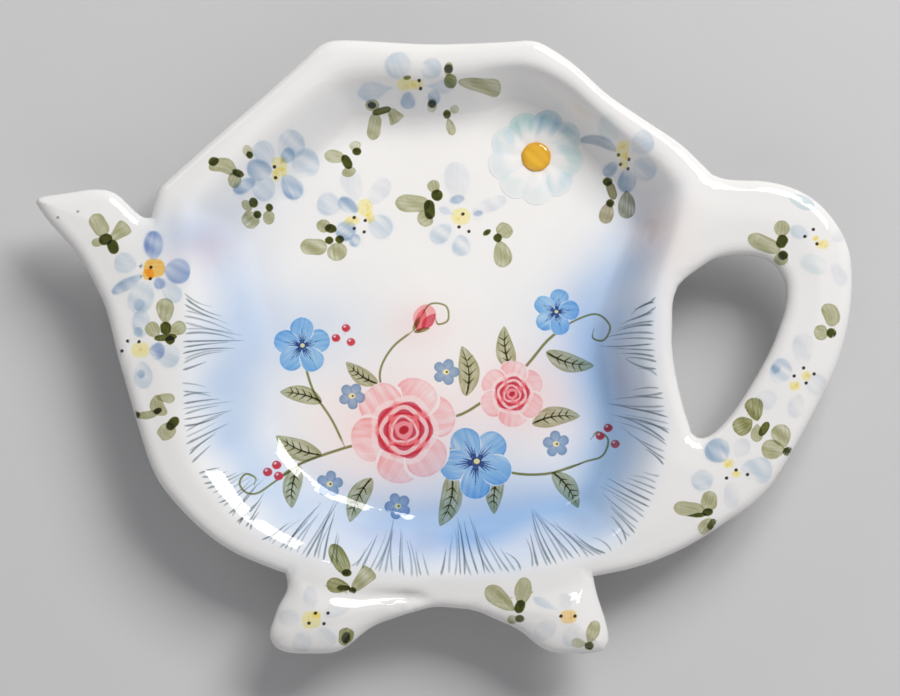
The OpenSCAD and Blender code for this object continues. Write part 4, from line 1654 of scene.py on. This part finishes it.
ring = foot_ring()
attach(ring, "root")
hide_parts("foot_ring")

# --------------------------------------------------------- floor and camera


def floor_material():
    m = bpy.data.materials.new("pale_floor")
    m.use_nodes = True
    t = m.node_tree
    bsdf = t.nodes["Principled BSDF"]
    bsdf.inputs["Roughness"].default_value = 0.62
    bsdf.inputs["Specular IOR Level"].default_value = 0.25
    geo = t.nodes.new("ShaderNodeTexCoord")
    noise = node(t, "ShaderNodeTexNoise", Scale=16.0, Detail=4.0, Roughness=0.55)
    t.links.new(geo.outputs["Object"], noise.inputs["Vector"])
    ramp = t.nodes.new("ShaderNodeValToRGB")
    ramp.color_ramp.elements[0].color = (0.485, 0.49, 0.50, 1)
    ramp.color_ramp.elements[1].color = (0.52, 0.525, 0.535, 1)
    t.links.new(noise.outputs["Fac"], ramp.inputs["Fac"])
    t.links.new(ramp.outputs["Color"], bsdf.inputs["Base Color"])
    return m


def stage_floor():
    n, half = 40, 1.6
    verts, faces = [], []
    for j in range(n + 1):
        for i in range(n + 1):
            verts.append((-half + 2 * half * i / n, -half + 2 * half * j / n, 0.0))
    for j in range(n):
        for i in range(n):
            a = j * (n + 1) + i
            faces.append((a, a + 1, a + n + 2, a + n + 1))
    me = bpy.data.meshes.new("floor")
    me.from_pydata(verts, [], faces)
    me.materials.append(floor_material())
    ob = bpy.data.objects.new("floor", me)
    bpy.context.scene.collection.objects.link(ob)
    return ob


stage_floor()

CAM_DIST = 0.55
LENS = 36.0 * (CAM_DIST) / 0.1263


def camera():
    cam = bpy.data.cameras.new("camera")
    cam.lens = LENS
    cam.sensor_width = 36.0
    cam.clip_start = 0.01
    cam.clip_end = 20.0
    ob = bpy.data.objects.new("camera", cam)
    bpy.context.scene.collection.objects.link(ob)
    target = Vector((0.0009, -0.0004, 0.0125))
    tilt = math.radians(-3.5)
    d = Vector((0.0, math.sin(tilt), math.cos(tilt)))
    ob.location = target + d * CAM_DIST
    z = d
    x = Vector((1, 0, 0))
    y = z.cross(x)
    from mathutils import Matrix
    m = Matrix((x, y, z)).transposed()
    ob.matrix_world = Matrix.Translation(ob.location) @ m.to_4x4()
    bpy.context.scene.camera = ob
    return ob


camera()


def area_light(name, az, el, dist, size_x, size_y, power, colour=(1, 1, 1), target=(0, 0, 0.01)):
    """az 0 is +X, 90 is +Y (the top of the picture); el is above the table."""
    li = bpy.data.lights.new(name, "AREA")
    li.shape = "RECTANGLE"
    li.size, li.size_y = size_x, size_y
    li.energy = power
    li.color = colour
    ob = bpy.data.objects.new(name, li)
    bpy.context.scene.collection.objects.link(ob)
    a, e = math.radians(az), math.radians(el)
    p = Vector((math.cos(e) * math.cos(a), math.cos(e) * math.sin(a), math.sin(e))) * dist
    ob.location = Vector(target) + p
    ob.rotation_mode = "QUATERNION"
    ob.rotation_quaternion = (-p).to_track_quat("-Z", "Y")
    return ob


area_light("key_window_a", 44, 45, 0.9, 0.185, 0.42, 4.1, (1.0, 0.985, 0.965))
area_light("key_window_b", 66, 46, 0.9, 0.24, 0.46, 4.0, (1.0, 0.985, 0.965))
area_light("fill_front", -95, 40, 1.6, 2.2, 1.5, 6.8, (1.0, 0.985, 0.975))
area_light("edge_top_left", 129, 28, 1.0, 0.30, 0.15, 0.4, (0.97, 0.985, 1.0))

world = bpy.data.worlds.new("studio")
world.use_nodes = True
bg = world.node_tree.nodes["Background"]
bg.inputs["Color"].default_value = (0.985, 0.985, 1.0, 1)
bg.inputs["Strength"].default_value = 0.278
bpy.context.scene.world = world
bpy.context.scene.view_settings.view_transform = "Standard"
